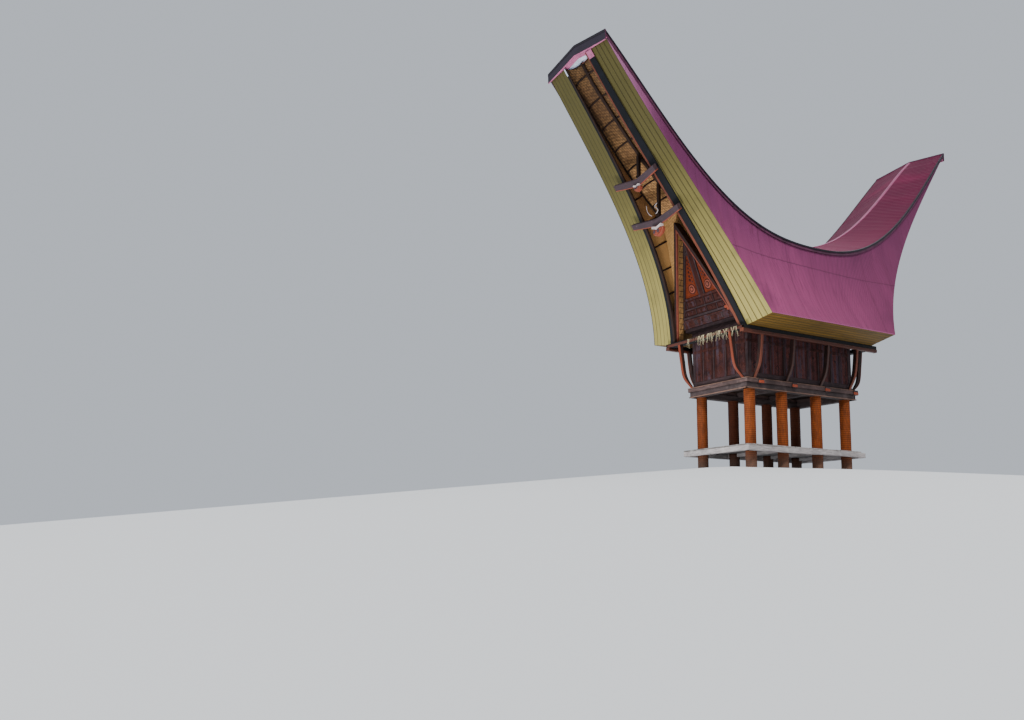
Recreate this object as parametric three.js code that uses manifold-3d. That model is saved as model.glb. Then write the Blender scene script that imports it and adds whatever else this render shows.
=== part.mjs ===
// A Toraja barn with a long saddle roof, in millimetres, +Z up.
// The ridge runs along Y, the front gable faces -Y, and the ground is at Z = 0.

import * as THREE from 'three';
import { mergeVertices } from 'three/addons/utils/BufferGeometryUtils.js';
import Module from 'manifold-3d';

const wasm = await Module();
wasm.setup();

// Running gap between pieces that touch
const GAP = 0.3;

// Posts: two rows of four palm trunks
const POST_RADIUS = 165;
const POST_SIDES = 20;
const POST_ROW_X = 1000;
const POST_INNER_Y = 760;
const POST_OUTER_Y = 2110;
const POST_YS = [-POST_OUTER_Y, -POST_INNER_Y, POST_INNER_Y, POST_OUTER_Y];
const POST_TOP = 2450 - GAP;

// Sitting platform between the posts
const PLATFORM_HALF_X = 1360;
const PLATFORM_HALF_Y = 2600;
const PLATFORM_TOP = 800;
const PLATFORM_BEAM_HEIGHT = 200;
const PLATFORM_BEAM_WIDTH = 120;
const PLATFORM_BOARD = 45;
const PLATFORM_BOARD_DROP = 5;
const BEARER_WIDTH = 100;
const BEARER_HEIGHT = 110;

// Floor frame on the posts: ring beams, sill and cross joists
const RING_HALF_X = 1200;
const RING_HALF_Y = 2420;
const RING_WIDTH = 230;
const RING_BOTTOM = 2450;
const RING_TOP = 2625;
const SILL_HALF_X = 1250;
const SILL_HALF_Y = 2460;
const SILL_WIDTH = 210;
const SILL_TOP = 2760;
const JOIST_WIDTH = 190;
const JOIST_PROUD = 50;
const JOIST_YS = [-1880, -460, 1010, 2350];

// Store box
const WALL_HALF_X = 1165;
const WALL_HALF_Y = 2300;
const WALL_THICKNESS = 50;
const FLOOR_THICKNESS = 40;
const WALL_BOTTOM = SILL_TOP + FLOOR_THICKNESS + 2 * GAP;
const WALL_TOP = 4500 - GAP;

// Roof: eave line, shoulder curve and ridge curve
const EAVE_HALF_X = 2534;
const EAVE_HALF_Y = 2696;
const EAVE_Z = 4355;
const TIP_Y = 7500;
const VERGE_REACH = [EAVE_HALF_Y, 3503, 5692, TIP_Y];
const VERGE_NARROWING = [0, 0.71, 0.923, 1];
const SHOULDER_LOW_Z = 6906;
const SHOULDER_TIP_Z = 11794;
const SHOULDER_RISE = [0.36, 1.70, -1.06];
const SHOULDER_TIP_Y = 7583;
const SHOULDER_MID_X = 1705;
const SHOULDER_TIP_X = 1347;
const RIDGE_RISE_MID = 630;
const RIDGE_RISE_TIP = 200;
const RIDGE_NOSE = 45;
const LIP_THICKNESS = 32;
const LIP_DEPTH = 290;
const TRIM_DEPTH = 120;
const TRIM_PROUD = 50;
const SEAT_WIDTH = 100;

// Layers of the steep slopes
const SHEET = 25;
const MASS = 780;
const EAVE_SPREAD = 0.19;
const MASS_DROP = 0.05;
const LAYERS = 4;
const LAYER_FORWARD = 20;
const LAYER_DROP = 45;
const INNER_FORWARD = LAYER_FORWARD * (LAYERS - 1);
const INNER_DROP = LAYER_DROP * (LAYERS - 1);
const STATIONS = 24;
const ROWS = 7;

// Boards and mats inside the overhangs
const MAT = 25;
const MAT_STATIONS = 6;
const CROWN_ABOVE_SHOULDER = 30;
const CROWN_END_RISE = 95;
const CROWN_RECESS = 250;
const CROWN_STEPS = 3;
const VAULT_STEPS = 2 * (ROWS + CROWN_STEPS);
const VERGE_BOARD_WIDTH = 240;
const VERGE_BOARD_WIDTH_TIP = 100;
const VERGE_BOARD_THICKNESS = 58;
const VERGE_BOARD_FORWARD = 40;
const VERGE_BOARD_TAPER = 0.66;
const POLE_RADIUS = 55;
const POLE_REACH = TIP_Y + INNER_FORWARD - CROWN_RECESS;
const POLE_SIDES = 8;

// Plates on the struts
const PLATE_BOTTOM = 3980;
const PLATE_TOP = 4070;
const PLATE_INNER_X = 1530;
const PLATE_OUTER_X = 1650;
const PLATE_BOARD = 50;
const PLATE_FRONT_Y = 2960;
const PLATE_BACK_Y = 2700;

// Struts
const STRUT_THICKNESS = 85;
const STRUT_SIDE_YS = POST_YS;
const STRUT_END_X = 1080;
const STRUT_FOOT = 65;
const STRUT_DEPTH_KINK = 125;
const STRUT_DEPTH_TOP = 150;
const SIDE_STRUT = { reach: 350, kink: 215, kinkUp: 385 };
const END_STRUT = { reach: 490, kink: 310, kinkUp: 300 };

// Leaning gable
const GABLE_LEAN = 0.39;
const GABLE_BASE_Z = 4600;
const GABLE_BASE_Y = 2600;
const GABLE_TOP_Z = 7925;
const GABLE_THICKNESS = 60;
const GABLE_LEVELS = 10;
const GABLE_CLEAR = 18;
const HEADER_HALF_X = 1150;
const HEADER_HEIGHT = 250;
const HEADER_PROUD = 40;
const FRAME_FORWARD = 300;
const FRAME_FOOT_X = 1500;
const FRAME_APEX_Z = 7490;
const FRAME_WIDTH = 130;

// Cross arms under the overhang: bottom of the bend, rise of the ends, half length
const YOKES = {
  lower: { z: 7350, halfLength: 1020 },
  upper: { z: 8400, halfLength: 900 },
};
const YOKE_RISE = 170;
const YOKE_HEIGHT = 190;
const YOKE_END_HEIGHT = 150;
const YOKE_THICKNESS = 130;
const YOKE_CLEAR = 40;
const KING_POST = 100;
const PENDANT_WIDTH = 210;
const PENDANT_SHOULDER = 140;
const PENDANT_DROP = 260;

// Finishes
const finish = (color, roughness, metalness = 0) => () =>
  new THREE.MeshStandardMaterial({ color, roughness, metalness });
const palmTrunk = finish(0xa55a28, 0.7);
const greyPlank = finish(0x82807d, 0.85);
const darkBeam = finish(0x46393a, 0.8);
const carvedBoard = finish(0x40282a, 0.75);
const orangeStrut = finish(0xbe5f34, 0.6);
const bambooLayer = finish(0xa5a05f, 0.8);
const maroonSheet = finish(0x86476a, 0.45, 0.3);
const crimsonSheet = finish(0x7c3350, 0.45, 0.3);
const blackBoard = finish(0x10151f, 0.7);
const wovenMat = finish(0x785a32, 0.9);
const gableBoard = finish(0x8a4424, 0.7);
const greyArm = finish(0x4a3f44, 0.8);

// Solids and booleans

function toManifold(geometry) {
  const bare = geometry.clone();
  for (const name of Object.keys(bare.attributes)) {
    if (name !== 'position') {
      bare.deleteAttribute(name);
    }
  }
  const merged = mergeVertices(bare, 1e-3);
  return new wasm.Manifold(new wasm.Mesh({
    numProp: 3,
    vertProperties: new Float32Array(merged.attributes.position.array),
    triVerts: new Uint32Array(merged.index.array),
  }));
}

function toGeometry(solid) {
  const { vertProperties, triVerts } = solid.getMesh();
  const geometry = new THREE.BufferGeometry();
  geometry.setAttribute('position', new THREE.BufferAttribute(new Float32Array(vertProperties), 3));
  geometry.setIndex(new THREE.BufferAttribute(new Uint32Array(triVerts), 1));
  geometry.computeVertexNormals();
  return geometry;
}

function join(geometries) {
  return toGeometry(geometries.map(toManifold).reduce((whole, next) => whole.add(next)));
}

function cut(geometry, tools) {
  const solid = tools.map(toManifold).reduce((whole, next) => whole.subtract(next), toManifold(geometry));
  return toGeometry(solid);
}

function box(x0, x1, y0, y1, z0, z1) {
  const geometry = new THREE.BoxGeometry(x1 - x0, y1 - y0, z1 - z0);
  geometry.translate((x0 + x1) / 2, (y0 + y1) / 2, (z0 + z1) / 2);
  return geometry;
}

function trunk(x, y, z0, z1, radius, sides) {
  const geometry = new THREE.CylinderGeometry(radius, radius, z1 - z0, sides);
  geometry.rotateX(Math.PI / 2);
  geometry.translate(x, y, (z0 + z1) / 2);
  return geometry;
}

// A rectangular ring of beams
function ring(halfX, halfY, width, z0, z1) {
  return cut(
    box(-halfX, halfX, -halfY, halfY, z0, z1),
    [box(width - halfX, halfX - width, width - halfY, halfY - width, z0 - 1, z1 + 1)],
  );
}

// A prism from an outline of [across, up] pairs, with its thickness centred on zero
function prism(outline, thickness) {
  const shape = new THREE.Shape(outline.map(([across, up]) => new THREE.Vector2(across, up)));
  const geometry = new THREE.ExtrudeGeometry(shape, { depth: thickness, bevelEnabled: false });
  geometry.translate(0, 0, -thickness / 2);
  return geometry;
}

// Splits a four-cornered patch along its shorter diagonal
function splitPatch([a, b, c, d], points) {
  const apart = (p, q) => points[p].distanceTo(points[q]);
  return apart(a, c) <= apart(b, d) ? [a, b, c, a, c, d] : [a, b, d, b, c, d];
}

// Closes a stack of surfaces with the same grid into one body. The first and last surfaces
// are whole skins, and each surface between them gives only its edge loop.
function closedStack(columns, rows, surfaces) {
  const edge = [];
  for (let i = 0; i < columns; i += 1) edge.push([i, 0]);
  for (let j = 0; j < rows; j += 1) edge.push([columns, j]);
  for (let i = columns; i > 0; i -= 1) edge.push([i, rows]);
  for (let j = rows; j > 0; j -= 1) edge.push([0, j]);

  const points = [];
  const indices = [];
  const addPoint = (point) => points.push(point) - 1;
  const last = surfaces.length - 1;
  const loops = surfaces.map((surface, level) => {
    if (level !== 0 && level !== last) {
      return edge.map(([i, j]) => addPoint(surface(i, j)));
    }
    const grid = [];
    for (let i = 0; i <= columns; i += 1) {
      grid.push([]);
      for (let j = 0; j <= rows; j += 1) {
        grid[i].push(addPoint(surface(i, j)));
      }
    }
    for (let i = 0; i < columns; i += 1) {
      for (let j = 0; j < rows; j += 1) {
        const patch = splitPatch([grid[i][j], grid[i + 1][j], grid[i + 1][j + 1], grid[i][j + 1]], points);
        indices.push(...(level === 0 ? patch : patch.reverse()));
      }
    }
    return edge.map(([i, j]) => grid[i][j]);
  });
  for (let level = 0; level < last; level += 1) {
    edge.forEach((_, k) => {
      const next = (k + 1) % edge.length;
      const [a, b, c, d] = [loops[level][k], loops[level][next], loops[level + 1][next], loops[level + 1][k]];
      indices.push(a, c, b, a, d, c);
    });
  }
  return facingOut(new THREE.BufferGeometry().setFromPoints(points).setIndex(indices));
}

// Turns a closed body's faces outward if its volume comes out negative
function facingOut(geometry) {
  const position = geometry.attributes.position;
  if (!geometry.index) {
    geometry.setIndex(Array.from({ length: position.count }, (_, k) => k));
  }
  const index = geometry.index.array;
  const corner = (k) => new THREE.Vector3().fromBufferAttribute(position, index[k]);
  let volume = 0;
  for (let k = 0; k < index.length; k += 3) {
    volume += corner(k).dot(corner(k + 1).cross(corner(k + 2)));
  }
  if (volume < 0) {
    for (let k = 0; k < index.length; k += 3) {
      [index[k + 1], index[k + 2]] = [index[k + 2], index[k + 1]];
    }
  }
  geometry.computeVertexNormals();
  return geometry;
}

// Mirrored across the YZ plane, or turned half round the Z axis
function mirrored(geometry) {
  const copy = geometry.clone();
  copy.scale(-1, 1, 1);
  return facingOut(copy);
}

function turned(geometry) {
  return geometry.clone().rotateZ(Math.PI);
}

// Roof curves

function bezier([p0, p1, p2, p3], s) {
  const r = 1 - s;
  return p0 * r ** 3 + 3 * p1 * s * r ** 2 + 3 * p2 * s ** 2 * r + p3 * s ** 3;
}

function shoulderZ(y) {
  const a = Math.abs(y) / SHOULDER_TIP_Y;
  const rise = SHOULDER_RISE.reduce((sum, factor, k) => sum + factor * a ** (k + 2), 0);
  return SHOULDER_LOW_Z + (SHOULDER_TIP_Z - SHOULDER_LOW_Z) * rise;
}

function shoulderX(y) {
  const a = Math.abs(y) / SHOULDER_TIP_Y;
  return SHOULDER_MID_X + (SHOULDER_TIP_X - SHOULDER_MID_X) * a ** 2;
}

function ridgeZ(y) {
  const a = Math.abs(y) / SHOULDER_TIP_Y;
  return shoulderZ(y) + RIDGE_RISE_MID + (RIDGE_RISE_TIP - RIDGE_RISE_MID) * a ** 2;
}

// A point of the right slope: t runs from the front verge (-1) to the rear one (1), v from
// the eave (0) to the shoulder (1), and depth goes in from the outer face.
function slopePoint(t, v, depth = 0, forward = 0, drop = 0) {
  const topZ = shoulderZ(t * TIP_Y) - TRIM_DEPTH - GAP;
  const outerX = EAVE_HALF_X + (shoulderX(t * TIP_Y) - EAVE_HALF_X) * bezier(VERGE_NARROWING, v);
  const inward = depth * (1 + EAVE_SPREAD * (1 - v));
  const z = EAVE_Z + (topZ - EAVE_Z) * v - depth * MASS_DROP - drop * (1 - v) ** 4;
  return new THREE.Vector3(outerX - inward, t * (bezier(VERGE_REACH, v) + forward), z);
}

// A point of the inner face of the right slope, just clear of it
const innerPoint = (t, v) => slopePoint(t, v, MASS + GAP, INNER_FORWARD, INNER_DROP);
const EAVE_UNDERSIDE = innerPoint(0, 0).z;

const station = (i) => -1 + (2 * i) / STATIONS;
const row = (j) => j / ROWS;

// Pieces

function platform() {
  const bottom = PLATFORM_TOP - PLATFORM_BEAM_HEIGHT;
  const beams = ring(PLATFORM_HALF_X, PLATFORM_HALF_Y, PLATFORM_BEAM_WIDTH, bottom, PLATFORM_TOP);
  const boards = box(
    -PLATFORM_HALF_X + 1, PLATFORM_HALF_X - 1,
    -PLATFORM_HALF_Y + 1, PLATFORM_HALF_Y - 1,
    PLATFORM_TOP - PLATFORM_BOARD, PLATFORM_TOP - PLATFORM_BOARD_DROP,
  );
  const bearers = POST_YS.map((y) => box(
    -PLATFORM_HALF_X + 1, PLATFORM_HALF_X - 1,
    y - BEARER_WIDTH / 2, y + BEARER_WIDTH / 2,
    PLATFORM_TOP - PLATFORM_BOARD - BEARER_HEIGHT, PLATFORM_TOP - PLATFORM_BOARD + 1,
  ));
  const holes = [-POST_ROW_X, POST_ROW_X].flatMap((x) => POST_YS.map((y) =>
    trunk(x, y, bottom - 10, PLATFORM_TOP + 10, POST_RADIUS + GAP, POST_SIDES)));
  return cut(join([beams, boards, ...bearers]), holes);
}

function floorFrame() {
  const beams = ring(RING_HALF_X, RING_HALF_Y, RING_WIDTH, RING_BOTTOM, RING_TOP);
  const sill = ring(SILL_HALF_X, SILL_HALF_Y, SILL_WIDTH, RING_TOP - 1, SILL_TOP);
  const joists = JOIST_YS.map((y) => box(
    -SILL_HALF_X - JOIST_PROUD, SILL_HALF_X + JOIST_PROUD,
    y - JOIST_WIDTH / 2, y + JOIST_WIDTH / 2, RING_TOP - 30, SILL_TOP,
  ));
  return join([beams, sill, ...joists]);
}

function wall(x0, x1, y0, y1) {
  return box(x0, x1, y0, y1, WALL_BOTTOM, WALL_TOP);
}

// Side profile of a bent strut as [out from its foot, up]
function strutOutline({ reach, kink, kinkUp }, height) {
  const half = (kink + reach) / 2 + 20;
  const halfUp = (kinkUp + height) / 2;
  return [
    [-STRUT_FOOT, 0],
    [0, 0],
    [kink, kinkUp],
    [half, halfUp],
    [reach, height],
    [reach - STRUT_DEPTH_TOP, height],
    [half - STRUT_DEPTH_TOP, halfUp],
    [kink - STRUT_DEPTH_KINK, kinkUp + 50],
  ];
}

function sideStrut(y) {
  const outline = strutOutline(SIDE_STRUT, PLATE_BOTTOM - SILL_TOP - 2 * GAP);
  const geometry = prism(outline, STRUT_THICKNESS).rotateX(Math.PI / 2);
  return geometry.translate(SILL_HALF_X - 5, y, SILL_TOP + GAP);
}

function endStrut(x) {
  const outline = strutOutline(END_STRUT, PLATE_TOP - SILL_TOP - 2 * GAP);
  const geometry = prism(outline, STRUT_THICKNESS).rotateX(Math.PI / 2).rotateZ(-Math.PI / 2);
  return geometry.translate(x, -SILL_HALF_Y, SILL_TOP + GAP);
}

function roofPlates() {
  const seat = EAVE_UNDERSIDE - GAP;
  const sides = [-1, 1].flatMap((side) => {
    const bar = (x, z0, z1) => {
      const across = [side * x, side * PLATE_OUTER_X].sort((a, b) => a - b);
      return box(...across, -PLATE_FRONT_Y, PLATE_FRONT_Y, z0, z1);
    };
    return [
      bar(PLATE_INNER_X, PLATE_BOTTOM, PLATE_TOP),
      bar(PLATE_OUTER_X - PLATE_BOARD, PLATE_TOP - 1, seat),
    ];
  });
  const ends = [-1, 1].map((side) => {
    const along = [side * PLATE_BACK_Y, side * PLATE_FRONT_Y].sort((a, b) => a - b);
    return box(-PLATE_OUTER_X, PLATE_OUTER_X, ...along, PLATE_TOP, seat);
  });
  return join([...sides, ...ends]);
}

function slopeSheet() {
  return closedStack(STATIONS, ROWS, [
    (i, j) => slopePoint(station(i), row(j), 0),
    (i, j) => slopePoint(station(i), row(j), SHEET),
  ]);
}

function slopeMass() {
  const surfaces = [];
  const outer = SHEET + GAP;
  for (let layer = 0; layer < LAYERS; layer += 1) {
    for (const part of [layer, layer + 1]) {
      const depth = outer + ((MASS - outer) * part) / LAYERS;
      const forward = layer * LAYER_FORWARD;
      const drop = layer * LAYER_DROP;
      surfaces.push((i, j) => slopePoint(station(i), row(j), depth, forward, drop));
    }
  }
  return closedStack(STATIONS, ROWS, surfaces);
}

// The crest between the shoulders: trims, a flat seat over each slope, a raised ridge and a
// turned-down lip at each tip
function crest() {
  const lipStart = SHOULDER_TIP_Y - LIP_THICKNESS;
  const ending = [lipStart, lipStart + 1, SHOULDER_TIP_Y];
  const middle = Array.from({ length: STATIONS + 1 }, (_, i) => station(i) * TIP_Y);
  const stops = [...ending.map((y) => -y).reverse(), ...middle, ...ending];
  const place = (i, j, heightOver) => {
    const y = stops[i];
    const side = Math.sign(j - 2);
    const edgeX = shoulderX(y) + TRIM_PROUD;
    const x = [0, shoulderX(y) - SEAT_WIDTH, edgeX][Math.abs(j - 2)];
    const rise = (ridgeZ(y) - shoulderZ(y)) * (1 - x / edgeX);
    const nose = side === 0 && Math.abs(y) >= lipStart ? Math.sign(y) * RIDGE_NOSE : 0;
    return new THREE.Vector3(side * x, y + nose, shoulderZ(y) + heightOver(Math.abs(y), rise, j));
  };
  const isSeat = (j) => Math.abs(j - 2) === 1;
  const under = (reach, rise, j) => {
    if (reach > lipStart) {
      return rise - LIP_DEPTH;
    }
    return (isSeat(j) ? 0 : rise) - TRIM_DEPTH;
  };
  return closedStack(stops.length - 1, 4, [
    (i, j) => place(i, j, (reach, rise) => rise),
    (i, j) => place(i, j, under),
  ]);
}

// Height of the mats' crown; at their free end it is set back and curls up
const crownZ = (t, atEnd) =>
  shoulderZ(t * TIP_Y) + CROWN_ABOVE_SHOULDER + (atEnd ? CROWN_END_RISE : 0);

// A path over the inside of one overhang: up the left slope, over the crown, down the right
function vaultPoint(t, k, inset, atEnd = false) {
  const side = k <= VAULT_STEPS / 2 ? -1 : 1;
  const step = Math.min(k, VAULT_STEPS - k);
  const turn = (Math.max(step - ROWS, 0) / CROWN_STEPS) * (Math.PI / 2);
  const recess = atEnd ? (CROWN_RECESS * Math.sin(turn)) / (TIP_Y + INNER_FORWARD) : 0;
  const place = t * (1 - recess);
  const point = innerPoint(place, row(Math.min(step, ROWS)));
  point.z += (crownZ(place, atEnd) - inset - point.z) * Math.sin(turn);
  point.x = side * (point.x - inset) * Math.cos(turn);
  return point;
}

function soffitMat() {
  return closedStack(MAT_STATIONS, VAULT_STEPS, [
    (i, k) => vaultPoint(station(i), k, 0, i === 0),
    (i, k) => vaultPoint(station(i), k, MAT, i === 0),
  ]);
}

function vergeBoards() {
  const face = (thickness) => (i, k) => {
    const up = Math.min(k, VAULT_STEPS - k, ROWS) / ROWS;
    const width = VERGE_BOARD_WIDTH + (VERGE_BOARD_WIDTH_TIP - VERGE_BOARD_WIDTH) * up;
    const point = vaultPoint(-1, k, i * width, true);
    point.y -= GAP + (thickness + i * VERGE_BOARD_FORWARD) * (1 - VERGE_BOARD_TAPER * up);
    return point;
  };
  return closedStack(1, VAULT_STEPS, [face(0), face(VERGE_BOARD_THICKNESS)]);
}

// Height of the ridge pole's centre line under the crown of the mats
function poleZ(y) {
  const atEnd = Math.abs(y) >= POLE_REACH;
  return crownZ(y / (TIP_Y + INNER_FORWARD), atEnd) - MAT - GAP - POLE_RADIUS;
}

function ridgePole(extra = 0) {
  const radius = POLE_RADIUS + extra;
  const inner = Array.from({ length: STATIONS - 1 }, (_, i) => station(i + 1) * (TIP_Y + INNER_FORWARD));
  const stops = [-POLE_REACH, ...inner, POLE_REACH];
  const last = stops.length - 1;
  const points = [];
  const indices = [];
  const at = (i, k) => i * POLE_SIDES + (k % POLE_SIDES);
  stops.forEach((y, i) => {
    for (let k = 0; k < POLE_SIDES; k += 1) {
      const angle = (k / POLE_SIDES) * Math.PI * 2;
      points.push(new THREE.Vector3(Math.cos(angle) * radius, y, poleZ(y) + Math.sin(angle) * radius));
      if (i < last) {
        indices.push(at(i, k), at(i + 1, k), at(i + 1, k + 1), at(i, k), at(i + 1, k + 1), at(i, k + 1));
      }
    }
  });
  for (let k = 1; k < POLE_SIDES - 1; k += 1) {
    indices.push(at(0, 0), at(0, k), at(0, k + 1));
    indices.push(at(last, 0), at(last, k + 1), at(last, k));
  }
  return facingOut(new THREE.BufferGeometry().setFromPoints(points).setIndex(indices));
}

// Halves the range until rises(middle) changes over
function bisect(rises) {
  let low = 0;
  let high = 1;
  for (let turn = 0; turn < 30; turn += 1) {
    const middle = (low + high) / 2;
    [low, high] = rises(middle) ? [low, middle] : [middle, high];
  }
  return (low + high) / 2;
}

// Half the clear width between the mats at a place on the leaning gable
function vaultHalfWidth(y, z) {
  const heightOn = (t) => bisect((v) => innerPoint(t, v).z > z);
  const t = bisect((middle) => innerPoint(middle, heightOn(middle)).y > y);
  return innerPoint(t, heightOn(t)).x - MAT;
}

const gableY = (z) => GABLE_BASE_Y + (z - GABLE_BASE_Z) * GABLE_LEAN;

// Stands a flat outline of [x, z] pairs in the leaning plane, a distance in front of the panel
function leaning(outline, thickness, forward) {
  const geometry = prism(outline, thickness).rotateX(Math.PI / 2);
  geometry.applyMatrix4(new THREE.Matrix4().makeShear(0, 0, 0, 0, 0, -GABLE_LEAN));
  return geometry.translate(0, GABLE_BASE_Z * GABLE_LEAN - GABLE_BASE_Y - forward + thickness / 2, 0);
}

function gablePanel() {
  const levels = Array.from({ length: GABLE_LEVELS + 1 }, (_, k) =>
    GABLE_BASE_Z + ((GABLE_TOP_Z - GABLE_BASE_Z) * k) / GABLE_LEVELS);
  const right = levels.map((z) => [vaultHalfWidth(gableY(z), z) - GABLE_CLEAR, z]);
  const left = right.map(([x, z]) => [-x, z]).reverse();
  const headerTop = GABLE_BASE_Z + HEADER_HEIGHT;
  const header = [
    [-HEADER_HALF_X, GABLE_BASE_Z - 2], [HEADER_HALF_X, GABLE_BASE_Z - 2],
    [HEADER_HALF_X, headerTop], [-HEADER_HALF_X, headerTop],
  ];
  const shelf = box(
    -HEADER_HALF_X + 5, HEADER_HALF_X - 5, -GABLE_BASE_Y, -WALL_HALF_Y + WALL_THICKNESS,
    WALL_TOP + GAP, GABLE_BASE_Z + 10,
  );
  return join([
    leaning([...right, ...left], GABLE_THICKNESS, 0),
    leaning(header, GABLE_THICKNESS + HEADER_PROUD, HEADER_PROUD),
    shelf,
  ]);
}

function gableFrame() {
  const foot = EAVE_UNDERSIDE + GAP;
  const across = FRAME_FOOT_X / (FRAME_APEX_Z - foot);
  const innerX = FRAME_FOOT_X - FRAME_WIDTH;
  return leaning([
    [-FRAME_FOOT_X, foot], [-innerX, foot], [0, FRAME_APEX_Z - FRAME_WIDTH / across],
    [innerX, foot], [FRAME_FOOT_X, foot], [0, FRAME_APEX_Z],
  ], FRAME_FORWARD - HEADER_PROUD - GAP, FRAME_FORWARD);
}

// A bent cross arm with a post up to the ridge pole and a pendant under the bend
function yoke({ z, halfLength }) {
  const reach = (height) => innerPoint(1, bisect((v) => innerPoint(1, v).z > height)).y;
  const lean = Math.atan((reach(z + 600) - reach(z)) / 600);
  const back = reach(z) + VERGE_BOARD_THICKNESS + VERGE_BOARD_FORWARD + YOKE_CLEAR;
  const arm = prism([
    [-halfLength, YOKE_RISE], [0, 0], [halfLength, YOKE_RISE],
    [halfLength, YOKE_RISE + YOKE_END_HEIGHT], [0, YOKE_HEIGHT], [-halfLength, YOKE_RISE + YOKE_END_HEIGHT],
  ], YOKE_THICKNESS);
  arm.translate(0, 0, YOKE_THICKNESS / 2).rotateX(Math.PI / 2 + lean).translate(0, -back, z);
  const y = -back - YOKE_THICKNESS / 2;
  const half = KING_POST / 2;
  const post = box(-half, half, y - half, y + half, z - 20, poleZ(y) - POLE_RADIUS + 10);
  const wide = PENDANT_WIDTH / 2;
  const pendant = prism([
    [-wide, 40], [-wide, -PENDANT_SHOULDER], [0, -PENDANT_DROP], [wide, -PENDANT_SHOULDER], [wide, 40],
  ], KING_POST).rotateX(Math.PI / 2).translate(0, y, z + 10);
  return join([arm, cut(post, [ridgePole(GAP)]), pendant]);
}

// Assembly

const barn = new THREE.Group();

function add(name, geometry, material) {
  const mesh = new THREE.Mesh(geometry, material());
  mesh.name = name;
  barn.add(mesh);
}

for (const [side, x] of [['left', -POST_ROW_X], ['right', POST_ROW_X]]) {
  POST_YS.forEach((y, k) => {
    add(`post_${side}_${k + 1}`, trunk(x, y, 0, POST_TOP, POST_RADIUS, POST_SIDES), palmTrunk);
  });
}
add('platform', platform(), greyPlank);
add('floor_frame', floorFrame(), darkBeam);
add('floor', box(
  -WALL_HALF_X, WALL_HALF_X, -WALL_HALF_Y, WALL_HALF_Y,
  SILL_TOP + GAP, SILL_TOP + GAP + FLOOR_THICKNESS,
), greyPlank);

const innerY = WALL_HALF_Y - WALL_THICKNESS;
add('front_wall', wall(-WALL_HALF_X, WALL_HALF_X, -WALL_HALF_Y, -innerY), carvedBoard);
add('rear_wall', wall(-WALL_HALF_X, WALL_HALF_X, innerY, WALL_HALF_Y), carvedBoard);
add('left_wall', wall(-WALL_HALF_X, -WALL_HALF_X + WALL_THICKNESS, GAP - innerY, innerY - GAP), carvedBoard);
add('right_wall', wall(WALL_HALF_X - WALL_THICKNESS, WALL_HALF_X, GAP - innerY, innerY - GAP), carvedBoard);

STRUT_SIDE_YS.forEach((y, k) => {
  add(`strut_right_${k + 1}`, sideStrut(y), orangeStrut);
  add(`strut_left_${k + 1}`, mirrored(sideStrut(y)), orangeStrut);
});
for (const [side, x] of [['left', -STRUT_END_X], ['right', STRUT_END_X]]) {
  add(`strut_front_${side}`, endStrut(x), orangeStrut);
  add(`strut_rear_${side}`, turned(endStrut(-x)), orangeStrut);
}

add('roof_plates', roofPlates(), orangeStrut);
add('roof_mass_right', slopeMass(), bambooLayer);
add('roof_mass_left', mirrored(slopeMass()), bambooLayer);
add('metal_side_right', slopeSheet(), maroonSheet);
add('metal_side_left', mirrored(slopeSheet()), maroonSheet);
add('metal_top', crest(), crimsonSheet);
add('ridge_pole', ridgePole(), darkBeam);

const ends = { front: (geometry) => geometry, rear: turned };
for (const [end, place] of Object.entries(ends)) {
  add(`soffit_mat_${end}`, place(soffitMat()), wovenMat);
  add(`verge_boards_${end}`, place(vergeBoards()), blackBoard);
  add(`gable_panel_${end}`, place(gablePanel()), gableBoard);
  add(`gable_frame_${end}`, place(gableFrame()), gableBoard);
  for (const [level, sizes] of Object.entries(YOKES)) {
    add(`yoke_${end}_${level}`, place(yoke(sizes)), greyArm);
  }
}

export default barn;
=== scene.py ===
"""A raised timber barn with a long saddle roof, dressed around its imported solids.

The ridge runs along Y, the front gable faces -Y and the ground is at Z = 0. Lengths are in metres.
"""
import math
import random
from functools import partialmethod

import bmesh
import bpy
import numpy as np
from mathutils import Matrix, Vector


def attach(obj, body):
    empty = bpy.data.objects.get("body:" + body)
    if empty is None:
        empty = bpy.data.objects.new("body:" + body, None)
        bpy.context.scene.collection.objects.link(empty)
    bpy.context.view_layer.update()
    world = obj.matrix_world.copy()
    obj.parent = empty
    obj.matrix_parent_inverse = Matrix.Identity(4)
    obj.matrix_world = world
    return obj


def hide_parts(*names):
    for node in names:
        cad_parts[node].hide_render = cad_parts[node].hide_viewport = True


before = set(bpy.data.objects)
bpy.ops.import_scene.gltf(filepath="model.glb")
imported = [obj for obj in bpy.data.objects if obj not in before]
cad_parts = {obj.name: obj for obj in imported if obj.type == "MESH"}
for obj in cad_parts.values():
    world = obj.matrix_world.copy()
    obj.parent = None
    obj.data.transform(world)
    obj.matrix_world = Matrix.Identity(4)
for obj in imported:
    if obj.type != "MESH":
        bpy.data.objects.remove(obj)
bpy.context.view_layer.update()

bl_info = {
    "name": "Saddle roof barn",
    "version": (1, 0, 0),
    "blender": (4, 5, 0),
    "location": "View3D > Sidebar > Barn",
    "description": "Builds the visible pieces of a raised barn with a saddle roof",
    "category": "Object",
}

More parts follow.
